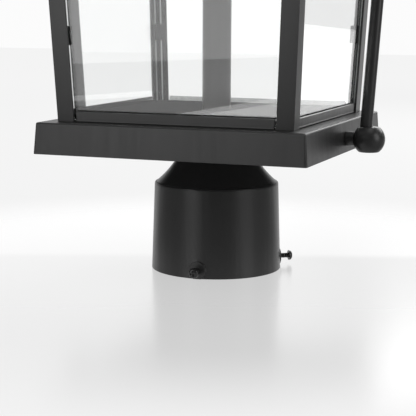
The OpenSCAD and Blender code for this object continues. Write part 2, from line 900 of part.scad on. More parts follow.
module ball_lower_right() { translate([ball_x, 0, ball_z]) ball(1); }
module ball_upper_right() { translate([top_ball_x, 0, top_ball_z]) ball(-1); }
module ball_lower_left() { mirror([1, 0, 0]) ball_lower_right(); }
module ball_upper_left() { mirror([1, 0, 0]) ball_upper_right(); }

module rod_right() {
    tilt = atan(rod_lean);
    run = (top_ball_z - ball_z) / cos(tilt);
    end = ball_flats / 2 - rod_seat + seat_gap;
    color(black)
        translate([rod_x, 0, ball_z])
            rotate([0, tilt, 0])
                translate([0, 0, end])
                    cylinder(d = rod_d, h = run - 2 * end);
}

module rod_left() { mirror([1, 0, 0]) rod_right(); }

// lampholder: threaded tube, nuts, sleeve, bracket and screw shell

module nipple() {
    low = flange_top - flange_t - nipple_down;
    high = floor_top + nipple_up;
    color(zinc)
        difference() {
            translate([0, 0, low])
                cylinder(d = nipple_d, h = high - low);
            translate([0, 0, low - over])
                cylinder(d = nipple_bore_d, h = high - low + 2 * over);
        }
}

module nipple_nuts() {
    color(zinc) {
        translate([0, 0, flange_top - flange_t - seat_gap - nipple_nut_h])
            hex_nut(nipple_nut_w, nipple_nut_h, nipple_d);
        translate([0, 0, bracket_z + bracket_t + seat_gap])
            hex_nut(nipple_nut_w, nipple_nut_h, nipple_d);
    }
}

module candle_sleeve() {
    color(soft_black)
        translate([0, 0, floor_top + seat_gap])
            difference() {
                cylinder(d = sleeve_d, h = sleeve_h);
                translate([0, 0, -over])
                    cylinder(r = sleeve_in, h = sleeve_h + 2 * over);
            }
}

// foot round the tube, strap along a flat of the nut, and a shelf under the lampholder
module socket_bracket() {
    strap_y = nipple_nut_w / 2 + 2 * seat_gap;
    shelf_d = 2 * (strap_y + bracket_t);
    color(zinc)
        difference() {
            union() {
                translate([0, 0, bracket_z])
                    cylinder(d = shelf_d, h = bracket_t);
                translate([-bracket_w / 2, strap_y, bracket_z])
                    cube([bracket_w, bracket_t, bracket_top - bracket_z]);
                translate([0, 0, bracket_top - bracket_t])
                    cylinder(d = shelf_d, h = bracket_t);
            }
            translate([0, 0, bracket_z - over])
                cylinder(d = nipple_d + 2 * hole_clear, h = bracket_t + 2 * over);
            translate([0, 0, bracket_top - bracket_t - over])
                cylinder(d = small_d + 2 * hole_clear, h = bracket_t + 2 * over);
        }
}

module lamp_socket() {
    chamber = contact_room;
    color(bakelite)
        difference() {
            translate([0, 0, socket_z])
                cylinder(d = socket_d, h = socket_h);
            translate([0, 0, shell_z - seat_gap])
                cylinder(r = shell_r + seat_gap, h = shell_h + over);
            translate([0, 0, shell_z - chamber])
                cylinder(d = shell_bore_d - 2 * shell_lip, h = chamber + over);
            for (s = [-1, 1])
                translate([s * socket_d / 4, 0, socket_z - over])
                    cylinder(d = wire_hole_d, h = socket_h);
        }
}

module screw_shell() {
    color(brass)
        translate([0, 0, shell_z])
            rotate_extrude()
                polygon([[shell_bore_d / 2 - shell_lip, 0], [shell_r, 0], [shell_r, shell_h],
                    [shell_bore_d / 2, shell_h], [shell_bore_d / 2, shell_wall],
                    [shell_bore_d / 2 - shell_lip, shell_wall]]);
}

// a leaf on the chamber's floor with a button in the middle
module centre_contact() {
    leaf_half = shell_bore_d / 2 - shell_lip - 2 * seat_gap;
    leaf_z = shell_z - contact_room + seat_gap;
    color(brass)
        union() {
            intersection() {
                translate([-leaf_half, -leaf_w / 2, leaf_z])
                    cube([2 * leaf_half, leaf_w, 2 * shell_wall]);
                translate([0, 0, leaf_z])
                    cylinder(r = leaf_half, h = contact_room);
            }
            translate([0, 0, leaf_z])
                cylinder(d = leaf_w, h = contact_room - shell_wall);
        }
}

// crossbar, stud and nuts that hold the roof down

module crossbar() {
    half_len = opening_half + crossbar_lap;
    color(zinc)
        translate([0, 0, bar_z])
            difference() {
                translate([-crossbar_w / 2, -half_len, 0])
                    cube([crossbar_w, 2 * half_len, crossbar_t]);
                translate([0, 0, -over])
                    cylinder(d = stud_d + 2 * hole_clear, h = crossbar_t + 2 * over);
                for (s = [-1, 1])
                    translate([0, s * (opening_half + crossbar_lap / 2), -over])
                        cylinder(d = mid_d + 2 * hole_clear, h = crossbar_t + 2 * over);
            }
}

module crossbar_screws() {
    color(zinc)
        for (s = [-1, 1])
            translate([0, s * (opening_half + crossbar_lap / 2), bar_z + crossbar_t])
                pan_screw(mid_d, crossbar_screw_len, mid_head_d, mid_head_h);
}

module roof_stud() {
    color(zinc)
        translate([0, 0, stud_low])
            cylinder(d = stud_d, h = stud_high - stud_low);
}

module stud_nuts() {
    color(zinc)
        for (z = [bar_z - seat_gap - stud_nut_h, bar_z + crossbar_t + seat_gap])
            translate([0, 0, z])
                hex_nut(stud_nut_w, stud_nut_h, stud_d);
}

// roof: four slopes, skirt over the top frame and a ledge that rests on it

module roof_shell() {
    pitch = atan(roof_rise / (roof_half - crown_half));
    across = roof_t / sin(pitch);
    skirt_z = frame_top - skirt_down;
    attic_top = crown_z - roof_t;
    color(black)
        difference() {
            cross_block()
                polygon([[-roof_half, skirt_z], [roof_half, skirt_z], [roof_half, eave_z],
                    [crown_half, crown_z], [-crown_half, crown_z], [-roof_half, eave_z]]);
            cross_block()
                polygon([[roof_t - roof_half, skirt_z - over], [roof_half - roof_t, skirt_z - over],
                    [roof_half - roof_t, ledge_z], [roof_t - roof_half, ledge_z]]);
            cross_block()
                translate([-(roof_half - roof_t - ledge_w), skirt_z])
                    square([2 * (roof_half - roof_t - ledge_w), eave_z - skirt_z + over]);
            cross_block()
                polygon([[across - roof_half, eave_z], [roof_half - across, eave_z],
                    [crown_half + roof_t / tan(pitch) - across, attic_top],
                    [across - crown_half - roof_t / tan(pitch), attic_top]]);
            translate([0, 0, crown_z - roof_t - over])
                cylinder(d = vent_hole_d, h = roof_t + 2 * over);
        }
}

module vent_collar() {
    inner_r = vent_r - vent_wall;
    slot_low = vent_z + vent_wall + (vent_h - slot_h) / 4;
    color(black)
        difference() {
            translate([0, 0, vent_z])
                rotate_extrude()
                    polygon([[inner_r, 0], [vent_r + vent_wall, 0], [vent_r + vent_wall, vent_wall],
                        [vent_r, vent_wall], [vent_r, vent_h], [inner_r, vent_h]]);
            for (i = [0:vent_slots - 1])
                rotate([0, 0, 360 * i / vent_slots])
                    translate([inner_r / 2, -slot_w / 2, slot_low])
                        cube([vent_r, slot_w, slot_h]);
        }
}

module vent_cap() {
    color(black)
        translate([0, 0, cap_z])
            rotate_extrude()
                union() {
                    intersection() {
                        translate([0, -dome_drop])
                            difference() {
                                circle(r = dome_r);
                                circle(r = dome_in);
                            }
                        translate([stud_d / 2 + hole_clear, 0])
                            square([cap_d / 2 - stud_d / 2 - hole_clear, cap_rise]);
                    }
                    translate([cap_d / 2 - roof_t, -cap_rim_h])
                        square([roof_t, cap_rim_h + roof_t / 2]);
                }
}

// finial: turned foot, waist, ball and tip, threaded onto the stud
module finial() {
    foot_h = finial_foot_share * finial_h;
    waist_r = finial_waist_share * finial_foot_d;
    waist_z = finial_waist_z_share * finial_h;
    ball_r = finial_ball_d / 2;
    ball_at = finial_ball_z_share * finial_h;
    tip_r = finial_tip_share * finial_ball_d;
    color(black)
        translate([0, 0, finial_z])
            difference() {
                rotate_extrude()
                    intersection() {
                        union() {
                            square([finial_foot_d / 2, foot_h]);
                            polygon([[0, foot_h / 2], [finial_foot_d / 2 - foot_h / 2, foot_h / 2],
                                [finial_foot_d / 2 - foot_h / 2, foot_h], [waist_r, waist_z],
                                [waist_r, ball_at], [0, ball_at]]);
                            translate([0, ball_at])
                                circle(r = ball_r);
                            translate([0, ball_at])
                                square([tip_r / 2, finial_h - ball_at - tip_r]);
                            translate([0, finial_h - tip_r])
                                circle(r = tip_r);
                        }
                        square([finial_foot_d, finial_h]);
                    }
                translate([0, 0, -over])
                    cylinder(d = stud_d + 2 * thread_clear, h = finial_thread + over);
            }
}

post_fitter();
set_screw_front();
set_screw_right();
set_screw_left();
neck_gasket();
base_tray();
neck_screws();
cage_screws_lower();
ground_screw();
floor_plate();
lower_rail_front();
lower_rail_right();
lower_rail_back();
lower_rail_left();
corner_bar_front_right();
corner_bar_back_right();
corner_bar_back_left();
corner_bar_front_left();
pane_front();
pane_right();
pane_back();
pane_left();
pane_keepers();
upper_rail_front();
upper_rail_right();
upper_rail_back();
upper_rail_left();
top_frame();
cage_screws_upper();
standoff_lower_right();
standoff_lower_left();
standoff_upper_right();
standoff_upper_left();
standoff_nuts();
ball_lower_right();
ball_lower_left();
ball_upper_right();
ball_upper_left();
rod_right();
rod_left();
nipple();
nipple_nuts();
candle_sleeve();
socket_bracket();
lamp_socket();
screw_shell();
centre_contact();
crossbar();
crossbar_screws();
roof_stud();
stud_nuts();
roof_shell();
vent_collar();
vent_cap();
finial();
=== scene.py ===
"""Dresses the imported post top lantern: edges, fasteners, finishes, light and camera, in metres."""

import json
import logging
import math
from collections.abc import Callable, Mapping, Sequence
from dataclasses import dataclass, field, replace
from enum import Enum
from typing import Any

import bmesh
import bpy
from mathutils import Matrix, Vector

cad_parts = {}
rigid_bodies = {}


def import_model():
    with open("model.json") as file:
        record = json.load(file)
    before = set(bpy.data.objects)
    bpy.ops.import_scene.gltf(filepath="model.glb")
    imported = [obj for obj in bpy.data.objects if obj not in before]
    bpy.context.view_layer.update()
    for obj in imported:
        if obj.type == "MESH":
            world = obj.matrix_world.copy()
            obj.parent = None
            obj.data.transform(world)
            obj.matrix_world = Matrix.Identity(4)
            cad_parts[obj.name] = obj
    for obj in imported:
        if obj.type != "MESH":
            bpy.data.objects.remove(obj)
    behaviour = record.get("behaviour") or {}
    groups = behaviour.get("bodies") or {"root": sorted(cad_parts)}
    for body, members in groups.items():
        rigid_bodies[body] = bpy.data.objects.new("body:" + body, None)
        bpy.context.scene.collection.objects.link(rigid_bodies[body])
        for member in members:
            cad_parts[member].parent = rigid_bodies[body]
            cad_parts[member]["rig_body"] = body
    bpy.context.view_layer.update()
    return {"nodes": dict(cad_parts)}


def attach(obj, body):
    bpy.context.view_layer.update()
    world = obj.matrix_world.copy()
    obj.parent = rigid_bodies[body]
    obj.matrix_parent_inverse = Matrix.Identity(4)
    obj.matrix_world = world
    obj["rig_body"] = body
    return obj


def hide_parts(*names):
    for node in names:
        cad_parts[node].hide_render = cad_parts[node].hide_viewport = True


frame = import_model()
EDGE = "softened"
MM = 0.001
JOIN = 2e-6
FLAT = math.radians(0.5)
UP = Vector((0.0, 0.0, 1.0))
SIDES = {"front": (0, -1, 0), "right": (1, 0, 0), "back": (0, 1, 0), "left": (-1, 0, 0)}
LOG = logging.getLogger("lantern")

Span = tuple[float, float]
Triple = tuple[float, float, float]
Values = Mapping[Any, Any]
Node = bpy.types.Node
Socket = bpy.types.NodeSocket
Outward = Callable[[Vector], Vector]


class Slot(Enum):
    """The record's material slots."""

    CASTING = "black_casting"
    COAT = "black_coat"
    SHEET = "black_sheet"
    GLASS = "clear_glass"
    ZINC = "zinc_plate"
    OXIDE = "black_oxide"
    GREEN = "green_zinc"
    BRASS = "brass"
    MOULDED = "moulded_black"
    RUBBER = "gasket_rubber"


# ---- node trees ----


def infix(operation: str, swapped: bool = False) -> Callable[["Reading", Any], "Reading"]:
    """Makes one of Reading's operators.

    Args:
        operation: The Math node's operation.
        swapped: Whether it is the reflected form, which has the other value first.

    Returns:
        The operator.
    """

    def add_node(this: "Reading", other: "Reading | float") -> "Reading":
        """The result of the operation on the two."""
        return this.bench.maths(operation, *((other, this) if swapped else (this, other)))

    return add_node


class Reading:
    """A socket that carries a number, so that Python's operators add Math nodes to its tree."""

    def __init__(self, bench: "Bench", socket: Socket) -> None:
        """Keeps the socket and the bench that made it."""
        self.bench = bench
        self.socket = socket

    __add__ = __radd__ = infix("ADD")
    __sub__, __rsub__ = infix("SUBTRACT"), infix("SUBTRACT", swapped=True)
    __mul__ = __rmul__ = infix("MULTIPLY")
    __truediv__, __rtruediv__ = infix("DIVIDE"), infix("DIVIDE", swapped=True)
    __pow__, __rpow__ = infix("POWER"), infix("POWER", swapped=True)

    def __neg__(self) -> "Reading":
        """This with its sign changed."""
        return 0.0 - self


class Bench:
    """Adds nodes to one tree, for a material, the world or a shape, and wires them."""

    def __init__(self, tree: bpy.types.NodeTree) -> None:
        """Takes an empty tree to build in."""
        self.tree = tree

    def feed(self, socket: Socket, value: Any) -> None:
        """Gives a socket its value, or links a reading or another socket to it.

        Args:
            socket: The input to fill.
            value: A plain value, a Reading or an output socket.
        """
        source = value.socket if isinstance(value, Reading) else value
        if isinstance(source, Socket):
            self.tree.links.new(source, socket)
        else:
            socket.default_value = source

    def node(self, kind: str, values: Values | None = None, **settings: Any) -> Node:
        """Adds one node.

        Args:
            kind: The node's type.
            values: The values or links of its inputs, by name or number.
            settings: What is set on the node before its inputs, such as an operation.

        Returns:
            The node.
        """
        made = self.tree.nodes.new(kind)
        for name, value in settings.items():
            setattr(made, name, value)
        for key, value in (values or {}).items():
            self.feed(made.inputs[key], value)
        return made

    def out(self, kind: str, values: Values | None = None, **settings: Any) -> Socket:
        """The first output of a new node, made as by node."""
        return self.node(kind, values, **settings).outputs[0]

    def read(self, made: Node, output: str | int = 0) -> Reading:
        """One of a node's outputs as a reading."""
        return Reading(self, made.outputs[output])

    def maths(self, operation: str, *values: "Reading | float") -> Reading:
        """The result of a Math node."""
        return self.read(self.node("ShaderNodeMath", dict(enumerate(values)), operation=operation))

    def vector(self, x: Any = 0.0, y: Any = 0.0, z: Any = 0.0) -> Socket:
        """A vector from three numbers or readings."""
        return self.out("ShaderNodeCombineXYZ", {0: x, 1: y, 2: z})

    def along(self, way: Socket, axis: Sequence[float]) -> Reading:
        """How far a vector reaches along an axis."""
        made = self.node("ShaderNodeVectorMath", {0: way, 1: axis}, operation="DOT_PRODUCT")
        return self.read(made, "Value")

    def between(
        self, reading: Reading, low: float, high: float, start: float = 0.0, end: float = 1.0
    ) -> Reading:
        """A smooth step from start, where the reading is low, to end, where it is high."""
        values = {0: reading, 1: low, 2: high, 3: start, 4: end}
        return self.read(self.node("ShaderNodeMapRange", values, interpolation_type="SMOOTHSTEP"))

    def ray(self, fact: str) -> Reading:
        """What Light Path says of the ray, such as Is Camera Ray."""
        return self.read(self.node("ShaderNodeLightPath"), fact)

    def mirrored(self) -> Reading:
        """1 for a ray that a surface has mirrored, and else 0."""
        return self.maths("MINIMUM", self.ray("Glossy Depth"), 1.0)

    def direct(self) -> Reading:
        """1 for a ray from the camera, also through glass, and else 0."""
        return self.maths("MAXIMUM", self.ray("Is Camera Ray"), self.ray("Is Transmission Ray"))


class Surface(Bench):
    """One material's tree, with the patterns that its finishes share."""

    def __init__(self, name: str) -> None:
        """Makes the material and empties its tree.

        Args:
            name: The material's name.
        """
        self.material = bpy.data.materials.new(name)
        self.material.use_nodes = True
        super().__init__(self.material.node_tree)
        self.tree.nodes.clear()
        self.output = self.node("ShaderNodeOutputMaterial")
        self.place = self.node("ShaderNodeTexCoord").outputs["Object"]

    def stretched(self, z: float) -> Socket:
        """The object's place with its height scaled, for grain that runs one way."""
        return self.out("ShaderNodeMapping", {"Vector": self.place, "Scale": (1.0, 1.0, z)})

    def noise(
        self, size_mm: float, detail: float = 2.0, rough: float = 0.5, place: Socket | None = None
    ) -> Reading:
        """Soft noise from 0 to 1.

        Args:
            size_mm: How far apart its patches are, in millimetres.
            detail: How many finer layers it has.
            rough: How strong the finer layers are.
            place: The coordinates, or None for the object's own.

        Returns:
            The noise.
        """
        values = {
            "Vector": place or self.place,
            "Scale": 1.0 / (size_mm * MM),
            "Detail": detail,
            "Roughness": rough,
        }
        return self.read(self.node("ShaderNodeTexNoise", values))

    def edge(self) -> Reading:
        """1 on a softened edge and 0 elsewhere, from the mesh's own attribute."""
        return self.read(self.node("ShaderNodeAttribute", attribute_name=EDGE), "Fac")

    def colour(self, factor: Reading, one: Triple | Socket, two: Triple | Socket) -> Socket:
        """Mixes two colours, the first of which shows where the factor is 0."""
        values = {0: factor, 6: full(one), 7: full(two)}
        return self.node("ShaderNodeMix", values, data_type="RGBA").outputs[2]

    def mottled(self, pattern: Reading, shade: float, spread: Span) -> Socket:
        """A grey that a pattern varies between two factors of its shade."""
        return self.colour(pattern, *(grey(shade * factor) for factor in spread))

    def bump(self, height: Reading, depth_mm: float, under: Socket | None = None) -> Socket:
        """A bumped normal.

        Args:
            height: The pattern, from 0 to 1.
            depth_mm: The height of 1, in millimetres.
            under: Another bump below this one.

        Returns:
            The normal.
        """
        values = {"Height": height, "Distance": depth_mm * MM}
        if under is not None:
            values["Normal"] = under
        return self.out("ShaderNodeBump", values)

    def finish(self, **values: Any) -> Node:
        """Ends the tree in one Principled shader.

        Args:
            values: Its inputs, with underscores for the spaces in their names.

        Returns:
            The shader's node.
        """
        named = {key.replace("_", " "): value for key, value in values.items()}
        shader = self.node("ShaderNodeBsdfPrincipled", named)
        self.end(shader)
        return shader

    def blend(self, share: Reading, one: Node, two: Node) -> Node:
        """Mixes two shaders by a share from 0 to 1."""
        return self.node("ShaderNodeMixShader", {0: share, 1: one.outputs[0], 2: two.outputs[0]})

    def end(self, shader: Node) -> None:
        """Makes a shader the surface's last one."""
        self.tree.links.new(shader.outputs[0], self.output.inputs[0])


def full(colour: Triple | Socket) -> Any:
    """A colour with its alpha where it is plain numbers, or the socket it is."""
    return (*colour, 1.0) if isinstance(colour, tuple) else colour


def grey(value: float) -> Triple:
    """A neutral colour of one value."""
    return (value, value, value)


# ---- finishes ----


@dataclass(frozen=True)
class Finish:
    """A surface finish: its material's name and the record slot it stands for."""

    name: str
    slot: Slot

    def material(self) -> bpy.types.Material:
        """The finish's material, built once.

        Returns:
            The material.
        """
        ready = bpy.data.materials.get(self.name)
        if ready is not None:
            return ready
        surface = Surface(self.name)
        self.paint(surface)
        return surface.material

    def paint(self, surface: Surface) -> None:
        """Builds the finish in an empty surface; each kind has its own."""
        raise NotImplementedError(self.name)


@dataclass(frozen=True)
class PowderCoat(Finish):
    """Satin powder coat over cast or bent metal, with orange peel and faintly rubbed edges."""

    shade: float = 0.017
    spread: Span = (0.85, 1.2)
    roughness: float = 0.33
    cloud_mm: float = 38.0
    peel_mm: float = 1.6
    peel_depth_mm: float = 0.012
    cast_mm: float = 9.0
    cast_depth_mm: float = 0.03
    streak_mm: float = 0.0
    streak_stretch: float = 0.05
    speck_mm: float = 0.9
    speck_from: Span = (0.71, 0.8)
    speck_share: float = 0.06
    speck_lift: float = 3.0
    rub_mm: float = 7.0
    rub_from: Span = (0.42, 0.62)
    rub_share: float = 0.35
    rub_lift: float = 4.0

    def paint(self, surface: Surface) -> None:
        """Builds the coat."""
        cloud = surface.noise(self.cloud_mm, 3.0)
        peel = surface.noise(self.peel_mm, 1.0)
        sand = surface.noise(self.cast_mm, 3.0, 0.55)
        if self.streak_mm:
            run = surface.stretched(self.streak_stretch)
            peel = peel * 0.4 + surface.noise(self.streak_mm, 2.0, 0.6, run) * 3.0
        speck = surface.between(surface.noise(self.speck_mm, 0.0), *self.speck_from)
        patch = surface.between(surface.noise(self.rub_mm, 3.0), *self.rub_from)
        rubbed = surface.edge() * patch * self.rub_share
        base = surface.mottled(cloud, self.shade, self.spread)
        base = surface.colour(speck * self.speck_share, base, grey(self.shade * self.speck_lift))
        surface.finish(
            Base_Color=surface.colour(rubbed, base, grey(self.shade * self.rub_lift)),
            Roughness=self.roughness - 0.05 + cloud * 0.06 + peel * 0.05 - rubbed * 0.1,
            Normal=surface.bump(peel, self.peel_depth_mm, surface.bump(sand, self.cast_depth_mm)),
        )


@dataclass(frozen=True)
class Enamel(Finish):
    """Dark enamel on rolled sheet or tube, smooth or with a fine dull texture."""

    shade: float = 0.025
    spread: Span = (0.85, 1.15)
    roughness: float = 0.3
    gloss: float = 0.5
    cloud_mm: float = 30.0
    grain_mm: float = 1.2
    grain_depth_mm: float = 0.003
    grain_stretch: float = 0.12

    def paint(self, surface: Surface) -> None:
        """Builds the enamel."""
        run = surface.stretched(self.grain_stretch)
        grain = surface.noise(self.grain_mm, 2.0, 0.5, run)
        cloud = surface.noise(self.cloud_mm, 3.0)
        surface.finish(
            Base_Color=surface.mottled(cloud, self.shade, self.spread),
            Roughness=self.roughness - 0.03 + cloud * 0.06 + grain * 0.03,
            Specular_IOR_Level=self.gloss,
            Normal=surface.bump(grain, self.grain_depth_mm),
        )


@dataclass(frozen=True)
class ClearGlass(Finish):
    """Clear float glass that lets the lamps through, with the faintest film of dust."""

    tint: Triple = (0.99, 0.995, 0.993)
    film: Triple = (0.975, 0.98, 0.978)
    film_mm: float = 24.0
    film_from: Span = (0.5, 0.85)
    wave_mm: float = 70.0
    wave_depth_mm: float = 0.004

    def paint(self, surface: Surface) -> None:
        """Builds the glass."""
        dust = surface.between(surface.noise(self.film_mm, 3.0), *self.film_from)
        glass = surface.finish(
            Base_Color=surface.colour(dust, self.tint, self.film),
            Roughness=0.0,
            Transmission_Weight=1.0,
            Normal=surface.bump(surface.noise(self.wave_mm, 1.0), self.wave_depth_mm),
        )
        clear = surface.node("ShaderNodeBsdfTransparent", {0: full(self.tint)})
        surface.end(surface.blend(surface.ray("Is Shadow Ray"), glass, clear))


@dataclass(frozen=True)
class GlassEdge(Finish):
    """The ground edge of the same glass, half clear; its pale colour is partly the grinding's frost
    and partly painted light standing in for light carried along the pane.
    """

    tint: Triple = (0.86, 0.93, 0.9)
    pale: float = 0.95
    grind_mm: float = 0.6
    grind_depth_mm: float = 0.004
    clearness: float = 0.35

    def paint(self, surface: Surface) -> None:
        """Builds the edge."""
        grind = surface.noise(self.grind_mm, 2.0)
        surface.finish(
            # Pale edge colour: partly frost from grinding, partly painted light that stands in for
            # light carried along the pane.
            Base_Color=surface.colour(grind, self.tint, grey(self.pale)),
            Roughness=0.3 + grind * 0.15,
            Transmission_Weight=self.clearness,
            Normal=surface.bump(grind, self.grind_depth_mm),
        )


@dataclass(frozen=True)
class Plated(Finish):
    """Bare or plated metal with turning or rolling marks."""

    colour: Triple = (0.6, 0.6, 0.58)
    dull: Triple = (0.42, 0.42, 0.42)
    roughness: float = 0.3
    metallic: float = 1.0
    cloud_mm: float = 5.0
    mark_mm: float = 0.35
    mark_depth_mm: float = 0.004
    mark_stretch: float = 3.0

    def paint(self, surface: Surface) -> None:
        """Builds the plating."""
        cloud = surface.noise(self.cloud_mm, 4.0, 0.6)
        marks = surface.noise(self.mark_mm, 1.0, 0.5, surface.stretched(self.mark_stretch))
        surface.finish(
            Base_Color=surface.colour(cloud, self.dull, self.colour),
            Metallic=self.metallic,
            Roughness=self.roughness - 0.06 + cloud * 0.12 + marks * 0.05,
            Normal=surface.bump(marks, self.mark_depth_mm),
        )


@dataclass(frozen=True)
class Moulded(Finish):
    """Pressed phenolic, sheet rubber or tape: one mass with fine mottling."""

    shade: float = 0.015
    spread: Span = (0.7, 1.5)
    roughness: float = 0.35
    gloss: float = 0.5
    grain_mm: float = 0.8
    grain_depth_mm: float = 0.006

    def paint(self, surface: Surface) -> None:
        """Builds the moulding."""
        mottle = surface.noise(self.grain_mm * 6, 4.0, 0.6)
        surface.finish(
            Base_Color=surface.mottled(mottle, self.shade, self.spread),
            Roughness=self.roughness - 0.04 + mottle * 0.08,
            Specular_IOR_Level=self.gloss,
            Normal=surface.bump(surface.noise(self.grain_mm, 2.0), self.grain_depth_mm),
        )


CAST = PowderCoat("powder_coat_on_casting", Slot.CASTING)
DRAWN = replace(CAST, name="powder_coat_on_drawn_tray", streak_mm=4.0)
COAT = PowderCoat(
    "powder_coat_on_bent_steel",
    Slot.COAT,
    roughness=0.3,
    peel_depth_mm=0.004,
    cast_mm=14.0,
    cast_depth_mm=0.005,
)
# Painted light: the rails have the bars' black coat, made lighter (shade 0.036 against 0.017) to
# stand in for the light that falls on them; the streaks are their own grain.
RAIL_COAT_PAINTED_LIGHTER = replace(
    COAT,
    name="powder_coat_on_rails",
    shade=0.036,
    roughness=0.27,
    peel_depth_mm=0.006,
    streak_mm=3.0,
)
SHEET = Enamel("enamel_on_tube", Slot.SHEET)
PLATE = Enamel(
    "dull_enamel_on_plate",
    Slot.SHEET,
    shade=0.03,
    roughness=0.6,
    gloss=0.0,
    grain_depth_mm=0.02,
    grain_stretch=1.0,
)
GLASS = ClearGlass("clear_float_glass", Slot.GLASS)
GLASS_EDGE = GlassEdge("polished_glass_edge", Slot.GLASS)
ZINC = Plated("bright_zinc", Slot.ZINC)
OXIDE = Plated(
    "black_oxide_steel", Slot.OXIDE, grey(0.05), grey(0.02), roughness=0.17, metallic=0.4
)
GREEN = Plated(
    "green_passivated_zinc", Slot.GREEN, (0.06, 0.3, 0.1), (0.03, 0.18, 0.06), metallic=0.8
)
BRASS = Plated("pressed_brass", Slot.BRASS, (0.8, 0.6, 0.28), (0.62, 0.43, 0.18), roughness=0.26)
PHENOLIC = Moulded("moulded_phenolic", Slot.MOULDED)
RUBBER = Moulded(
    "sheet_rubber",
    Slot.RUBBER,
    shade=0.012,
    roughness=0.75,
    gloss=0.05,
    grain_mm=0.5,
    grain_depth_mm=0.02,
)
TAPE = Moulded(
    "pale_glazing_tape",
    Slot.RUBBER,
    shade=0.8,
    roughness=0.6,
    grain_mm=0.6,
    grain_depth_mm=0.01,
)


# ---- shapes ----


def body_of(node: str) -> str:
    """The name of the body that a CAD node rides on."""
    return str(frame["nodes"][node]["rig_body"])


def keep(piece: bpy.types.Object, finish: Finish, body: str, *nodes: str) -> bpy.types.Object:
    """Puts a finished piece into the scene.

    Args:
        piece: The piece, in place in its mesh.
        finish: The finish of its first material slot.
        body: The body it rides on.
        nodes: The CAD nodes it stands for.

    Returns:
        The same piece.
    """
    if not piece.data.materials:
        piece.data.materials.append(finish.material())
    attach(piece, body)
    if nodes:
        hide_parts(*nodes)
    LOG.info("%s: %d faces on %s", piece.name, len(piece.data.polygons), body)
    return piece


def link(name: str, data: bpy.types.ID) -> bpy.types.Object:
    """A new object for a mesh, lamp or camera, at the origin and linked into the scene."""
    made = bpy.data.objects.new(name, data)
    bpy.context.scene.collection.objects.link(made)
    return made


def applied(piece: bpy.types.Object) -> bpy.types.Object:
    """Turns a piece's modifiers into a plain mesh.

    Args:
        piece: The piece with live modifiers.

    Returns:
        The same piece, with the result as its mesh and no modifiers.
    """
    graph = bpy.context.evaluated_depsgraph_get()
    graph.update()
    mesh = bpy.data.meshes.new_from_object(
        piece.evaluated_get(graph), preserve_all_data_layers=True, depsgraph=graph
    )
    piece.modifiers.clear()
    piece.data = mesh
    return piece


def smooth(piece: bpy.types.Object, sharp_deg: float) -> None:
    """Shades a piece smooth but for the edges that are sharper than sharp_deg."""
    piece.data.shade_smooth()
    piece.data.set_sharp_from_angle(angle=math.radians(sharp_deg))


def flatten(bm: bmesh.types.BMesh) -> None:
    """Joins the faces of a mesh that lie in one plane."""
    bmesh.ops.dissolve_limit(bm, angle_limit=FLAT, verts=bm.verts, edges=bm.edges)


def merged(node: str) -> bmesh.types.BMesh:
    """A merged copy of a CAD node's loose triangles, flat faces joined.

    Args:
        node: The node's name.

    Returns:
        The copy, which the caller frees.
    """
    bm = bmesh.new()
    bm.from_mesh(frame["nodes"][node].data)
    bmesh.ops.remove_doubles(bm, verts=bm.verts, dist=JOIN)
    flatten(bm)
    return bm


def solid(name: str, bm: bmesh.types.BMesh, sharp_deg: float = 50.0) -> bpy.types.Object:
    """A new object, smooth shaded with its large faces kept flat.

    Args:
        name: Its name.
        bm: Its mesh, which is freed.
        sharp_deg: Edges sharper than this stay sharp.

    Returns:
        The object with a plain mesh.
    """
    piece = link(name, bpy.data.meshes.new(name))
    bm.to_mesh(piece.data)
    bm.free()
    smooth(piece, sharp_deg)
    piece.modifiers.new("flat_faces", "WEIGHTED_NORMAL").keep_sharp = True
    return applied(piece)


@dataclass(frozen=True)
class Softening:
    """How the edges of a CAD shape are broken, as tumbling, casting or coating breaks them."""

    width_mm: float = 0.3
    segments: int = 2
    from_deg: float = 32.0
    sharp_deg: float = 50.0
    room_share: float = 0.9

    def roomy(self, edge: bmesh.types.BMEdge) -> bool:
        """Whether both faces beside an edge are wide enough for the bevel."""
        least = edge.calc_length() * self.width_mm * MM * self.room_share
        return all(face.calc_area() > least for face in edge.link_faces)

    def soften(self, bm: bmesh.types.BMesh) -> None:
        """Bevels the manifold edges that are sharper than from_deg and have room for the bevel, and
        marks the new faces.

        Args:
            bm: The mesh, changed in place.
        """
        limit = math.radians(self.from_deg)
        sharp = [e for e in bm.edges if e.is_manifold and e.calc_face_angle(0.0) > limit]
        made = bmesh.ops.bevel(
            bm,
            geom=[e for e in sharp if self.roomy(e)],
            offset=self.width_mm * MM,
            offset_type="OFFSET",
            segments=self.segments,
            profile=0.5,
            affect="EDGES",
            clamp_overlap=False,
            loop_slide=True,
        )
        layer = bm.loops.layers.float.new(EDGE)
        for face in made["faces"]:
            for loop in face.loops:
                loop[layer] = 1.0

    def piece(self, name: str, node: str) -> bpy.types.Object:
        """The softened copy of a CAD node as one object.

        Args:
            name: The new object's name.
            node: The CAD node to copy.

        Returns:
            The object, smooth shaded with flat faces kept flat.
        """
        bm = merged(node)
        self.soften(bm)
        return solid(name, bm, self.sharp_deg)


@dataclass(frozen=True)
class Bit:
    """One solid of a CAD node, measured along an axis, with its head point on that axis."""

    head: Vector
    axis: Vector
    length: float
    across: float


def measured(points: Sequence[Vector], outward: Outward) -> Bit:
    """Measures one solid.

    Args:
        points: Its corners.
        outward: Gives the axis, towards the head, of the solid with that middle.

    Returns:
        The measured solid.
    """
    low = Vector(min(p[i] for p in points) for i in range(3))
    high = Vector(max(p[i] for p in points) for i in range(3))
    axis = outward((low + high) / 2).normalized()
    side = axis.orthogonal().normalized()
    head, widths = Vector(), []
    for way in (side, axis.cross(side)):
        reach = [p.dot(way) for p in points]
        head += way * (min(reach) + max(reach)) / 2
        widths.append(max(reach) - min(reach))
    rise = [p.dot(axis) for p in points]
    return Bit(head + axis * max(rise), axis, max(rise) - min(rise), widths[0])


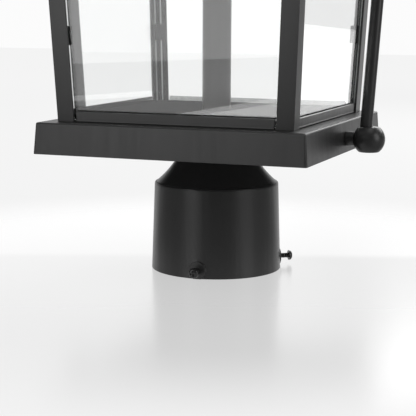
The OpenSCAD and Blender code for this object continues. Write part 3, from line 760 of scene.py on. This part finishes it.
def bits(node: str, outward: Outward) -> list[Bit]:
    """Measures each separate solid of a CAD node.

    Args:
        node: The node's name.
        outward: Gives each solid's axis, as for measured.

    Returns:
        One Bit for each solid, in a fixed order.
    """
    bm = merged(node)
    left = set(bm.verts)
    found = []
    while left:
        points, rim = [], [left.pop()]
        while rim:
            vert = rim.pop()
            points.append(vert.co.copy())
            fresh = {e.other_vert(vert) for e in vert.link_edges} & left
            left -= fresh
            rim.extend(fresh)
        found.append(measured(points, outward))
    bm.free()
    return sorted(found, key=lambda bit: tuple(round(part, 5) for part in bit.head))


# ---- geometry nodes ----


class ShapeTree(Bench):
    """A Geometry Nodes tree with named sizes, ending in Realize Instances and Set Material."""

    rim_power = 0.55
    crown_power = 0.8
    ridge_share = 0.341

    def __init__(self, name: str) -> None:
        """Makes the tree with its geometry input and output.

        Args:
            name: The tree's name.
        """
        super().__init__(bpy.data.node_groups.new(name, "GeometryNodeTree"))
        for way in ("INPUT", "OUTPUT"):
            self.tree.interface.new_socket(
                "Geometry", in_out=way, socket_type="NodeSocketGeometry"
            )
        self.inlet = self.node("NodeGroupInput")
        self.outlet = self.node("NodeGroupOutput")

    def sizes(self, named: Mapping[str, float]) -> list[Reading]:
        """Adds named numbers that the modifier can set.

        Args:
            named: The numbers' names and defaults.

        Returns:
            The numbers as readings, in the same order.
        """
        face = self.tree.interface
        for name, value in named.items():
            inlet = face.new_socket(name, in_out="INPUT", socket_type="NodeSocketFloat")
            inlet.default_value = value
        return [self.read(self.inlet, name) for name in named]

    def attribute(self, name: str, kind: str) -> Socket:
        """A named attribute of the points."""
        made = self.node("GeometryNodeInputNamedAttribute", {0: name}, data_type=kind)
        return next(o for o in made.outputs if o.enabled and o.name == "Attribute")

    def joined(self, *parts: Socket) -> Socket:
        """Several geometries as one."""
        made = self.node("GeometryNodeJoinGeometry")
        for part in parts:
            self.tree.links.new(part, made.inputs[0])
        return made.outputs[0]

    def moved(self, shape: Socket, **values: Any) -> Socket:
        """A shape after a Transform node with the values given by input name."""
        return self.out("GeometryNodeTransform", {"Geometry": shape, **values})

    def raised(self, shape: Socket, rise: Reading) -> Socket:
        """A shape shifted along Z."""
        return self.moved(shape, Translation=self.vector(z=rise))

    def block(self, x: Reading, y: Reading, z: Reading) -> Socket:
        """A box round the origin."""
        return self.out("GeometryNodeMeshCube", {"Size": self.vector(x, y, z)})

    def cone(self, sides: int, top: Reading, bottom: Reading, depth: Reading) -> Socket:
        """A cone, cylinder or prism that stands on the origin."""
        values = {"Vertices": sides, "Radius Top": top, "Radius Bottom": bottom, "Depth": depth}
        return self.out("GeometryNodeMeshCone", values)

    def cut(self, operation: str, first: Socket, *others: Socket) -> Socket:
        """A boolean of closed meshes.

        Args:
            operation: DIFFERENCE or INTERSECT.
            first: The mesh that is cut, or one of those that overlap.
            others: The other meshes.

        Returns:
            The result.
        """
        made = self.node("GeometryNodeMeshBoolean", operation=operation, solver="EXACT")
        lead = made.inputs[0] if operation == "DIFFERENCE" else made.inputs[1]
        self.tree.links.new(first, lead)
        for other in others:
            self.tree.links.new(other, made.inputs[1])
        return made.outputs[0]

    def thread(self, radius: Reading, pitch: Reading, length: Reading) -> Socket:
        """A screw thread's ridge below the origin, a square wire swept along a spiral.

        Args:
            radius: The thread's outside radius.
            pitch: The rise of a turn.
            length: The threaded length.

        Returns:
            The ridge's mesh.
        """
        half = pitch * self.ridge_share
        run = length - pitch
        values = {
            "Resolution": 20,
            "Rotations": run / pitch,
            "Start Radius": radius - half,
            "End Radius": radius - half,
            "Height": run,
        }
        path = self.out("GeometryNodeCurveSpiral", values)
        wire = self.out("GeometryNodeCurvePrimitiveCircle", {"Resolution": 4, "Radius": half})
        values = {"Curve": path, "Profile Curve": wire, "Fill Caps": True}
        return self.raised(self.out("GeometryNodeCurveToMesh", values), pitch * 0.5 - length)

    def dome(self, radius: Reading, height: Reading, sides: int = 24, rings: int = 6) -> Socket:
        """A closed pan head on the origin, its rise a flattened quarter curve.

        Args:
            radius: The head's radius.
            height: Its height.
            sides: Faces round it.
            rings: Faces from its rim to its middle.

        Returns:
            The closed mesh.
        """
        values = {"Size X": 1.0, "Size Y": 1.0, "Vertices X": sides + 1, "Vertices Y": rings + 2}
        grid = self.out("GeometryNodeMeshGrid", values)
        split = self.node("ShaderNodeSeparateXYZ", {0: self.out("GeometryNodeInputPosition")})
        turn = (self.read(split, 0) + 0.5) * (2 * math.pi)
        climb = (self.read(split, 1) + 0.5) * (rings + 1.0) - 1.0
        rise = self.maths("MAXIMUM", climb, 0.0) * (math.pi / 2 / rings)
        under = self.maths("MINIMUM", climb + 1.0, 1.0)
        rim = self.maths("MAXIMUM", self.maths("COSINE", rise), 0.0) ** self.rim_power
        wide = rim * under * radius
        lift = self.maths("SINE", rise) ** self.crown_power * height
        spot = self.vector(wide * self.maths("COSINE", turn), wide * self.maths("SINE", turn), lift)
        shaped = self.out("GeometryNodeSetPosition", {"Geometry": grid, "Position": spot})
        values = {"Geometry": shaped, "Distance": JOIN / 2}
        return self.out("GeometryNodeMergeByDistance", values)

    def finish(self, shape: Socket, finish: Finish) -> None:
        """Puts the shape on each point, realizes it and sets its material.

        Args:
            shape: The one shape, its axis along +Z and its top at the origin.
            finish: What it is finished in.
        """
        values = {"Vector": self.attribute("axis", "FLOAT_VECTOR")}
        upright = self.out("FunctionNodeAlignRotationToVector", values, axis="Z")
        values = {"Axis": tuple(UP), "Angle": self.attribute("turn", "FLOAT")}
        turn = self.out("FunctionNodeAxisAngleToRotation", values)
        values = {"Rotation": upright, "Rotate By": turn}
        spun = self.out("FunctionNodeRotateRotation", values, rotation_space="LOCAL")
        values = {"Points": self.inlet.outputs[0], "Instance": shape, "Rotation": spun}
        placed = self.out("GeometryNodeInstanceOnPoints", values)
        real = self.out("GeometryNodeRealizeInstances", {0: placed})
        values = {"Geometry": real, "Material": finish.material()}
        dressed = self.out("GeometryNodeSetMaterial", values)
        self.tree.links.new(dressed, self.outlet.inputs[0])


@dataclass(frozen=True)
class Fastener:
    """A kind of fastener that Geometry Nodes put where a CAD node has it."""

    finish: Finish
    suffix = "fastener"
    first_turn = 0.3
    turn_step = 0.68
    sharp_deg = 35.0

    def sizes(self, places: Sequence[Bit]) -> dict[str, float]:
        """The tree's named sizes in metres; each kind has its own."""
        raise NotImplementedError(type(self).__name__)

    def shape(self, tree: ShapeTree, sizes: Sequence[Reading]) -> Socket:
        """One fastener with its top at the origin, from its sizes; each kind has its own."""
        raise NotImplementedError(type(self).__name__)

    def place(self, node: str, outward: Outward) -> bpy.types.Object:
        """Runs the tree over a CAD node's solids and keeps the plain mesh.

        Args:
            node: The CAD node that the fasteners stand for.
            outward: Gives each one's axis, towards its head.

        Returns:
            The finished piece.
        """
        places = bits(node, outward)
        mesh = bpy.data.meshes.new(f"{node}_{self.suffix}")
        mesh.from_pydata([bit.head for bit in places], [], [])
        axis = mesh.attributes.new("axis", "FLOAT_VECTOR", "POINT")
        axis.data.foreach_set("vector", [part for bit in places for part in bit.axis])
        turns = [self.first_turn + self.turn_step * i for i in range(len(places))]
        mesh.attributes.new("turn", "FLOAT", "POINT").data.foreach_set("value", turns)
        piece = link(mesh.name, mesh)
        sizes = self.sizes(places)
        bench = ShapeTree(mesh.name)
        bench.finish(self.shape(bench, bench.sizes(sizes)), self.finish)
        run = piece.modifiers.new("shape", "NODES")
        run.node_group = bench.tree
        for item in bench.tree.interface.items_tree:
            if item.in_out == "INPUT" and item.name in sizes:
                run[item.identifier] = sizes[item.name]
        smooth(applied(piece), self.sharp_deg)
        return keep(piece, self.finish, body_of(node), node)


@dataclass(frozen=True)
class PanScrew(Fastener):
    """A pan head machine screw with a cross recess and a real thread.

    The recess is given over the head's radius and rise, the core over the pitch.
    """

    shank_mm: float
    head_mm: float
    head_rise_mm: float
    pitch_mm: float
    suffix = "threaded"
    recess_reach = 1.15
    recess_width = 0.26
    recess_depth = 1.2
    core_top = 0.3
    core_tip = 0.45
    neck_drop = 0.9

    def sizes(self, places: Sequence[Bit]) -> dict[str, float]:
        """The screw's sizes, its length from the CAD's."""
        return {
            "Shank radius": self.shank_mm / 2 * MM,
            "Head radius": self.head_mm / 2 * MM,
            "Head height": self.head_rise_mm * MM,
            "Shank length": places[0].length - self.head_rise_mm * MM,
            "Pitch": self.pitch_mm * MM,
        }

    def shape(self, tree: ShapeTree, sizes: Sequence[Reading]) -> Socket:
        """One screw: a domed head, a cross recess, a core and a thread.

        Args:
            tree: The tree to build in.
            sizes: The named sizes, in their order.

        Returns:
            The screw.
        """
        shank, head, rise, length, pitch = sizes
        reach, wide = head * self.recess_reach, head * self.recess_width
        deep = rise * self.recess_depth
        slots = [tree.raised(tree.block(*s, deep), rise) for s in ((reach, wide), (wide, reach))]
        cut = tree.cut("DIFFERENCE", tree.dome(head, rise), *slots)
        core = tree.cone(20, shank - pitch * self.core_top, shank - pitch * self.core_tip, length)
        core = tree.moved(core, Rotation=(math.pi, 0.0, 0.0))
        neck = tree.raised(tree.cone(20, shank, shank, pitch), -pitch * self.neck_drop)
        whole = tree.joined(cut, core, neck, tree.thread(shank, pitch, length))
        return tree.raised(whole, -rise)


@dataclass(frozen=True)
class HexNut(Fastener):
    """A hexagon nut with chamfered corners, which two cones trim."""

    bore_mm: float
    suffix = "chamfered"
    turn_step = 0.0
    fit = 0.98
    cone_mouth = 0.48
    cone_base = 1.4
    cone_height = 1.6

    def sizes(self, places: Sequence[Bit]) -> dict[str, float]:
        """The nut's sizes, its width and height from the CAD's."""
        return {
            "Across flats": min(bit.across for bit in places) * self.fit,
            "Height": places[0].length,
            "Bore radius": self.bore_mm / 2 * MM,
        }

    def shape(self, tree: ShapeTree, sizes: Sequence[Reading]) -> Socket:
        """One nut: a hexagon, trimmed by two cones and bored.

        Args:
            tree: The tree to build in.
            sizes: The named sizes, in their order.

        Returns:
            The nut.
        """
        across, height, bore = sizes
        base, mouth = across * self.cone_base, across * self.cone_mouth
        tall, corner = height * self.cone_height, across / math.sqrt(3)
        hexagon = tree.cone(6, corner, corner, height)
        lower = tree.cone(48, base, mouth, tall)
        upper = tree.raised(tree.cone(48, mouth, base, tall), height - tall)
        hole = tree.raised(tree.cone(32, bore, bore, height * 3.0), -height)
        trimmed = tree.cut("INTERSECT", tree.cut("INTERSECT", hexagon, lower), upper)
        return tree.raised(tree.cut("DIFFERENCE", trimmed, hole), -height)


def straight_up(_: Vector) -> Vector:
    """An axis along +Z."""
    return UP


def straight_down(_: Vector) -> Vector:
    """An axis along -Z."""
    return -UP


def from_post(middle: Vector) -> Vector:
    """An axis straight out from the post's axis."""
    return Vector((middle.x, middle.y, 0.0))


def sideways(middle: Vector) -> Vector:
    """An axis straight out to the nearer side."""
    return Vector((middle.x, 0.0, 0.0))


# ---- sub-assemblies ----


@dataclass
class Assembly:
    """Pieces that are CAD shapes with broken edges, each with its own finish."""

    dressed: list[bpy.types.Object] = field(default_factory=list)

    def soft(self, finish: Finish, softening: Softening, *nodes: str) -> None:
        """Replaces CAD nodes by their softened copies.

        Args:
            finish: Their finish.
            softening: How their edges are broken.
            nodes: The nodes.
        """
        for node in nodes:
            piece = softening.piece(f"{node}_dressed", node)
            self.dressed.append(keep(piece, finish, body_of(node), node))

    def fasten(self, fastener: Fastener, outward: Outward, *nodes: str) -> None:
        """Replaces CAD nodes by fasteners of one kind, with the axes that outward gives."""
        self.dressed += [fastener.place(node, outward) for node in nodes]

    def build(self) -> None:
        """Builds the assembly's pieces; each kind has its own."""
        raise NotImplementedError(type(self).__name__)


@dataclass
class PostFitter(Assembly):
    """The cast fitter with its gasket and the three set screws in its pads."""

    edge: Softening = Softening(0.35, 3)
    gasket_edge: Softening = Softening(0.1, 1)
    screw: PanScrew = PanScrew(OXIDE, 3.5, 6.8, 2.3, 0.8)

    def build(self) -> None:
        """Builds the casting, the gasket and the screws."""
        self.soft(CAST, self.edge, "post_fitter")
        self.soft(RUBBER, self.gasket_edge, "neck_gasket")
        screws = (f"set_screw_{side}" for side in ("front", "right", "left"))
        self.fasten(self.screw, from_post, *screws)


@dataclass
class Tray(Assembly):
    """The drafted tray, the floor plate over it, and what holds them."""

    edge: Softening = Softening(0.3, 2)
    sheet_edge: Softening = Softening(0.15, 2)
    screw: PanScrew = PanScrew(ZINC, 3.0, 5.6, 1.9, 0.5)
    ground: PanScrew = PanScrew(GREEN, 4.0, 7.6, 2.4, 0.7)

    def build(self) -> None:
        """Builds the tray, the plate and their screws."""
        self.soft(DRAWN, self.edge, "base_tray")
        self.soft(PLATE, self.sheet_edge, "floor_plate")
        self.fasten(self.screw, straight_down, "neck_screws", "cage_screws_lower")
        self.fasten(self.ground, straight_down, "ground_screw")


@dataclass
class Cage(Assembly):
    """The four leaning corner bars, eight rails, and the glass with its keepers.

    The section of each strip along a lower rail is given by corners, each a depth in from the
    rail's inner face and a rise above its top.
    """

    bar_edge: Softening = Softening(0.25, 2)
    rail_edge: Softening = Softening(0.5, 1, sharp_deg=38.0)
    keeper_edge: Softening = Softening(0.15, 1)
    arris: Softening = Softening(0.35, 1)
    glass_share: float = 0.5
    screw: PanScrew = PanScrew(ZINC, 3.0, 5.6, 1.9, 0.5)
    strip_end_mm: float = 0.4
    tape_mm: tuple[Span, ...] = (
        (0.01, -3.4), (0.01, 0.4), (0.06, -3.4), (0.06, 0.4), (0.08, -3.3), (0.08, 0.3)
    )
    bead_mm: tuple[Span, ...] = (
        (0.0, 0.0), (0.0, 0.4), (-0.12, 0.55), (-0.3, 0.55), (-0.45, 0.4), (-0.5, 0.0)
    )
    seam_mm: tuple[Span, ...] = ((-1.19, -6.8), (-1.19, -6.3), (-1.26, -6.35), (-1.3, -6.8))
    ridge_mm: tuple[Span, ...] = (
        (-1.19, -6.2), (-1.19, -5.5), (-1.3, -5.6), (-1.4, -5.8), (-1.42, -6.0), (-1.36, -6.2)
    )

    def build(self) -> None:
        """Builds bars, rails, panes and keepers."""
        for corner in ("front_right", "back_right", "back_left", "front_left"):
            self.soft(COAT, self.bar_edge, f"corner_bar_{corner}")
        for side in SIDES:
            self.soft(RAIL_COAT_PAINTED_LIGHTER, self.rail_edge, f"lower_rail_{side}", f"upper_rail_{side}")
            self.pane(side)
            self.strip("glazing_tape", side, TAPE if side == "back" else RUBBER, self.tape_mm)
            # Painted shadow: a black strip along each rail's top stands in for the shaded gap
            # between the glass and the rail.
            self.strip("glazing_bead", side, RUBBER, self.bead_mm)
            # Painted shadow: a black strip along each rail's foot stands in for the shaded gap
            # between the rail and the tray.
            self.strip("rail_seam", side, RUBBER, self.seam_mm)
            self.strip("rail_ridge", side, RAIL_COAT_PAINTED_LIGHTER, self.ridge_mm)
        self.soft(SHEET, self.keeper_edge, "pane_keepers")
        self.fasten(self.screw, straight_up, "cage_screws_upper")

    def strip(self, name: str, side: str, finish: Finish, profile_mm: Sequence[Span]) -> None:
        """A thin strip along a lower rail.

        Args:
            name: The strip's name.
            side: The side of the cage it lies on.
            finish: Its finish.
            profile_mm: Its section.
        """
        node = f"lower_rail_{side}"
        rail = merged(node)
        out = Vector(SIDES[side])
        run = out.cross(UP)
        inner = min(rail.faces, key=lambda f: f.normal.dot(out) * f.calc_area())
        anchor = max((v.co for v in inner.verts), key=lambda p: p.z)
        half = abs(anchor.dot(run)) - self.strip_end_mm * MM
        lean = inner.normal.z / inner.normal.dot(out)
        bm = bmesh.new()
        for depth, rise in profile_mm:
            level = anchor.dot(out) - (rise * lean + depth) * MM
            for reach in (-half, half):
                spot = out * level + run * reach
                bm.verts.new((spot.x, spot.y, anchor.z + rise * MM))
        rail.free()
        bmesh.ops.convex_hull(bm, input=bm.verts)
        flatten(bm)
        bmesh.ops.recalc_face_normals(bm, faces=bm.faces)
        self.dressed.append(keep(solid(f"{name}_{side}", bm), finish, body_of(node)))

    def pane(self, side: str) -> None:
        """One pane: clear faces, ground edges.

        Args:
            side: The side of the cage it glazes.
        """
        node = f"pane_{side}"
        piece = self.arris.piece(f"{node}_glazed", node)
        for finish in (GLASS, GLASS_EDGE):
            piece.data.materials.append(finish.material())
        least = max(face.area for face in piece.data.polygons) * self.glass_share
        for face in piece.data.polygons:
            face.material_index = 0 if face.area > least else 1
        self.dressed.append(keep(piece, GLASS, body_of(node), node))


@dataclass
class SideRods(Assembly):
    """The two leaning rods with their flatted balls, standoffs and nuts."""

    edge: Softening = Softening(0.25, 2)
    nut: HexNut = HexNut(ZINC, 5.0)

    def build(self) -> None:
        """Builds both sides."""
        for side in ("right", "left"):
            self.soft(COAT, self.edge, f"rod_{side}")
            for level in ("lower", "upper"):
                self.soft(CAST, self.edge, f"ball_{level}_{side}")
                self.soft(COAT, self.edge, f"standoff_{level}_{side}")
        self.fasten(self.nut, sideways, "standoff_nuts")


@dataclass
class Lampholder(Assembly):
    """The candle sleeve, the threaded tube and the lampholder inside it."""

    sleeve_edge: Softening = Softening(0.2, 2)
    edge: Softening = Softening(0.12, 1)
    brass_edge: Softening = Softening(0.08, 1)
    nut: HexNut = HexNut(ZINC, 10.0)

    def build(self) -> None:
        """Builds the sleeve, tube, nuts, bracket, socket, shell and contact."""
        self.soft(SHEET, self.sleeve_edge, "candle_sleeve")
        self.soft(ZINC, self.edge, "nipple")
        self.fasten(self.nut, straight_up, "nipple_nuts")
        self.soft(ZINC, self.edge, "socket_bracket")
        self.soft(PHENOLIC, self.edge, "lamp_socket")
        self.soft(BRASS, self.brass_edge, "screw_shell", "centre_contact")


@dataclass
class TopFrame(Assembly):
    """The open top frame, its crossbar and the stud that holds the roof."""

    edge: Softening = Softening(0.3, 2)
    bar_edge: Softening = Softening(0.25, 2)
    stud_edge: Softening = Softening(0.2, 1)
    screw: PanScrew = PanScrew(ZINC, 4.0, 7.6, 2.4, 0.7)
    nut: HexNut = HexNut(ZINC, 6.0)

    def build(self) -> None:
        """Builds the frame, the bar, the stud and their fasteners."""
        self.soft(CAST, self.edge, "top_frame")
        self.soft(ZINC, self.bar_edge, "crossbar")
        self.soft(ZINC, self.stud_edge, "roof_stud")
        self.fasten(self.screw, straight_up, "crossbar_screws")
        self.fasten(self.nut, straight_up, "stud_nuts")


@dataclass
class Roof(Assembly):
    """The lift-off roof with its vent and cap, and the finial on top."""

    edge: Softening = Softening(0.3, 2)

    def build(self) -> None:
        """Builds the roof, the vent and the finial."""
        self.soft(CAST, self.edge, "roof_shell", "vent_collar", "vent_cap", "finial")


# ---- studio ----


def away(azimuth: float, elevation: float = 0.0) -> Vector:
    """The direction out from the lantern, by degrees round from its front and degrees up."""
    turn, rise = math.radians(azimuth), math.radians(elevation)
    flat = math.cos(rise)
    return Vector((math.sin(turn) * flat, -math.cos(turn) * flat, math.sin(rise)))


@dataclass(frozen=True)
class Softbox:
    """A soft studio lamp that looks at the object."""

    name: str
    azimuth: float
    elevation: float
    distance: float
    width: float
    height: float
    radiance: float

    def light(self, aim: Vector) -> None:
        """Hangs the lamp.

        Args:
            aim: The point it looks at.
        """
        lamp = bpy.data.lights.new(self.name, "AREA")
        lamp.shape = "RECTANGLE"
        lamp.size, lamp.size_y = self.width, self.height
        lamp.energy = self.radiance * math.pi * self.width * self.height
        holder = link(self.name, lamp)
        out = away(self.azimuth, self.elevation)
        holder.location = aim + out * self.distance
        holder.rotation_euler = (-out).to_track_quat("-Z", "Y").to_euler()
        holder.visible_camera = False
        holder.visible_transmission = False


@dataclass(frozen=True)
class View:
    """The photograph's camera, worked out from its edges."""

    place_mm: Triple = (294.73, -778.29, 173.57)
    yaw: float = 20.708
    pitch: float = 9.432
    roll: float = 0.320
    focal_px: float = 1243.61
    middle_px: Span = (217.12, 214.97)
    frame_px: int = 416
    sensor_mm: float = 36.0

    def shoot(self) -> None:
        """Makes the camera and sets it as the scene's."""
        back, right = away(self.yaw, self.pitch), away(self.yaw + 90.0)
        up = back.cross(right)
        lean = math.radians(self.roll)
        across = right * math.cos(lean) + up * math.sin(lean)
        upward = up * math.cos(lean) - right * math.sin(lean)
        data = bpy.data.cameras.new("camera")
        data.sensor_width = self.sensor_mm
        data.lens = self.focal_px * self.sensor_mm / self.frame_px
        data.shift_x = 0.5 - self.middle_px[0] / self.frame_px
        data.shift_y = self.middle_px[1] / self.frame_px - 0.5
        data.clip_start, data.clip_end = 0.01, 50.0
        camera = link("camera", data)
        turned = Matrix((across, upward, back)).transposed().to_4x4()
        camera.matrix_world = Matrix.Translation(Vector(self.place_mm) * MM) @ turned
        bpy.context.scene.camera = camera


BACKWARD = tuple(-away(View.yaw))
LEFTWARD = tuple(-away(View.yaw + 90.0))


@dataclass(frozen=True)
class Studio:
    """The pale table, the white room and the lamps.

    The room and the glow are in parts of white. A turn is the cosine to the view's direction, seen
    from above: 1 straight behind the lantern and -1 towards the camera. Lengths are in metres.
    """

    aim: Triple = (0.0, 0.0, 0.15)
    room_camera: float = 0.97
    room_back: float = 0.95
    room_side: float = 0.15
    room_front: float = 0.03
    room_fill: float = 0.5
    wall_turn: Span = (0.55, 0.95)
    front_turn: Span = (-0.8, -0.96)
    table_half: float = 4.0
    table_shade: float = 0.86
    table_seen: float = 0.12
    table_roughness: float = 0.2
    table_cloud_mm: float = 60.0
    horizon: Span = (0.024, 0.048)
    polish: Span = (0.2, 0.36)
    glow_near: float = 0.55
    glow_dip: float = 0.08
    dip_from: Span = (-0.03, -0.1)
    dip_behind: float = 0.4
    glow_back: float = 0.6
    far: Span = (0.4, 2.4)
    far_glow: Span = (0.78, 0.84)
    gloss_turn: Span = (0.42, 0.75)
    gloss_side: float = 0.3
    gloss_front: float = 0.1
    gloss_from: Span = (0.06, 0.2)
    mirror_veil: float = 0.6
    mirror_patch: float = 3.8
    patch_side: Triple = (0.857, 0.5156, 0.0)
    patch_edge: Span = (-0.5527, -0.5507)
    patch_reach: Span = (0.9, 0.85)
    lamps: tuple[Softbox, ...] = (
        Softbox("left_softbox", -23.0, 13.0, 0.95, 0.42, 0.7, 2.0),
        Softbox("right_softbox", 76.0, 14.0, 1.05, 0.5, 0.7, 2.0),
        Softbox("top_softbox", 10.0, 84.0, 1.8, 1.6, 1.6, 1.2),
        Softbox("back_softbox", 163.0, 29.0, 1.3, 1.2, 0.7, 3.6),
    )

    def room(self) -> None:
        """Builds the world: white behind, a darker side where the camera stands."""
        world = bpy.data.worlds.new("room")
        bpy.context.scene.world = world
        world.use_nodes = True
        bench = Bench(world.node_tree)
        bench.tree.nodes.clear()
        turn = bench.along(bench.node("ShaderNodeTexCoord").outputs["Generated"], BACKWARD)
        gloss = bench.between(turn, *self.front_turn, self.room_side, self.room_front)
        gloss += bench.between(turn, *self.wall_turn) * (self.room_back - self.room_side)
        plain = bench.direct() * (self.room_camera - self.room_fill) + self.room_fill
        mirrored = bench.mirrored()
        level = mirrored * gloss + (1.0 - mirrored) * plain
        sky = bench.out("ShaderNodeBackground", {0: full(grey(1.0)), 1: level})
        bench.tree.links.new(sky, bench.node("ShaderNodeOutputWorld").inputs[0])

    def table(self) -> None:
        """Builds the table, polished near the lantern and matt further out."""
        half = self.table_half
        corners = [(x * half, y * half, 0.0) for x, y in ((-1, -1), (1, -1), (1, 1), (-1, 1))]
        mesh = bpy.data.meshes.new("table")
        mesh.from_pydata(corners, [], [(0, 1, 2, 3)])
        top = link("table", mesh)
        surface = Surface("pale_table")
        length = surface.node("ShaderNodeVectorMath", {0: surface.place}, operation="LENGTH")
        reach = surface.read(length, "Value")
        behind = surface.along(surface.place, BACKWARD)
        mirrored = surface.mirrored()
        seen = surface.maths("MAXIMUM", surface.direct(), mirrored)
        sharp = mirrored * surface.ray("Is Singular Ray")
        # Painted shade in reflections: blurred mirror rays see the table's glow taken down, most
        # towards the camera side.
        lit = seen * (1.0 - (mirrored - sharp) * self.flag(surface, reach, behind / reach))
        base = surface.colour(seen, grey(self.table_shade), grey(self.table_seen))
        polished = surface.finish(
            Base_Color=base,
            Roughness=self.table_roughness + surface.noise(self.table_cloud_mm, 3.0) * 0.02,
            Emission_Color=surface.vector(*[lit * self.near_glow(surface, behind)] * 3),
            Emission_Strength=1.0,
        )
        glow = lit * surface.between(reach, *self.far, *self.far_glow)
        # Painted reflection: sharp mirror rays see the matt table glow brighter, a veil for the
        # glass and a bright wedge on the patch.
        mirror = sharp * (self.mirror_veil + self.patch(surface, reach) * self.mirror_patch)
        matt = surface.finish(
            Base_Color=base,
            Specular_IOR_Level=0.0,
            Emission_Color=surface.vector(*[glow + mirror] * 3),
            Emission_Strength=1.0,
        )
        upper = surface.blend(surface.between(reach, *self.polish), polished, matt)
        under = surface.read(surface.node("ShaderNodeNewGeometry"), "Backfacing")
        surface.end(surface.blend(under, upper, surface.node("ShaderNodeBsdfTransparent")))
        mesh.materials.append(surface.material)

    def near_glow(self, surface: Surface, behind: Reading) -> Reading:
        """The polished table's glow: paler behind the lantern and dimmer at its right.

        Args:
            surface: The table's surface.
            behind: How far back a point lies.

        Returns:
            The glow.
        """
        back = surface.between(behind, *self.horizon)
        dip = surface.between(surface.along(surface.place, LEFTWARD), *self.dip_from)
        dip = dip * self.glow_dip * (1.0 - back * (1.0 - self.dip_behind))
        return self.glow_near - dip + back * (self.glow_back - self.glow_near)

    def flag(self, surface: Surface, reach: Reading, turn: Reading) -> Reading:
        """How much of the glow is taken from blurred mirrorings of the table: painted shade, seen
        only in reflections.

        Args:
            surface: The table's surface.
            reach: A point's distance from the lantern.
            turn: Its turn.

        Returns:
            The share taken, from 0 to 1.
        """
        level = surface.between(turn, *self.gloss_turn, self.gloss_side, 1.0)
        front = surface.between(turn, *self.front_turn) * (self.gloss_side - self.gloss_front)
        return surface.between(reach, *self.gloss_from) * (1.0 - level + front)

    def patch(self, surface: Surface, reach: Reading) -> Reading:
        """1 on the part of the table that glows only in sharp mirror rays, a painted reflection that
        the front pane shows as a bright wedge, and else 0.
        """
        side = surface.between(surface.along(surface.place, self.patch_side), *self.patch_edge)
        return side * surface.between(reach, *self.patch_reach)

    def build(self) -> None:
        """Builds the room, the table, the lamps and the camera."""
        bpy.context.scene.view_settings.view_transform = "Standard"
        self.room()
        self.table()
        for lamp in self.lamps:
            lamp.light(Vector(self.aim))
        View().shoot()


def main() -> None:
    """Builds the studio and every sub-assembly, in order."""
    logging.basicConfig(level=logging.INFO, format="%(message)s")
    Studio().build()
    for kind in (PostFitter, Tray, Cage, SideRods, Lampholder, TopFrame, Roof):
        assembly = kind()
        assembly.build()
        LOG.info("%s: %d pieces", kind.__name__, len(assembly.dressed))


if __name__ == "__main__":
    main()
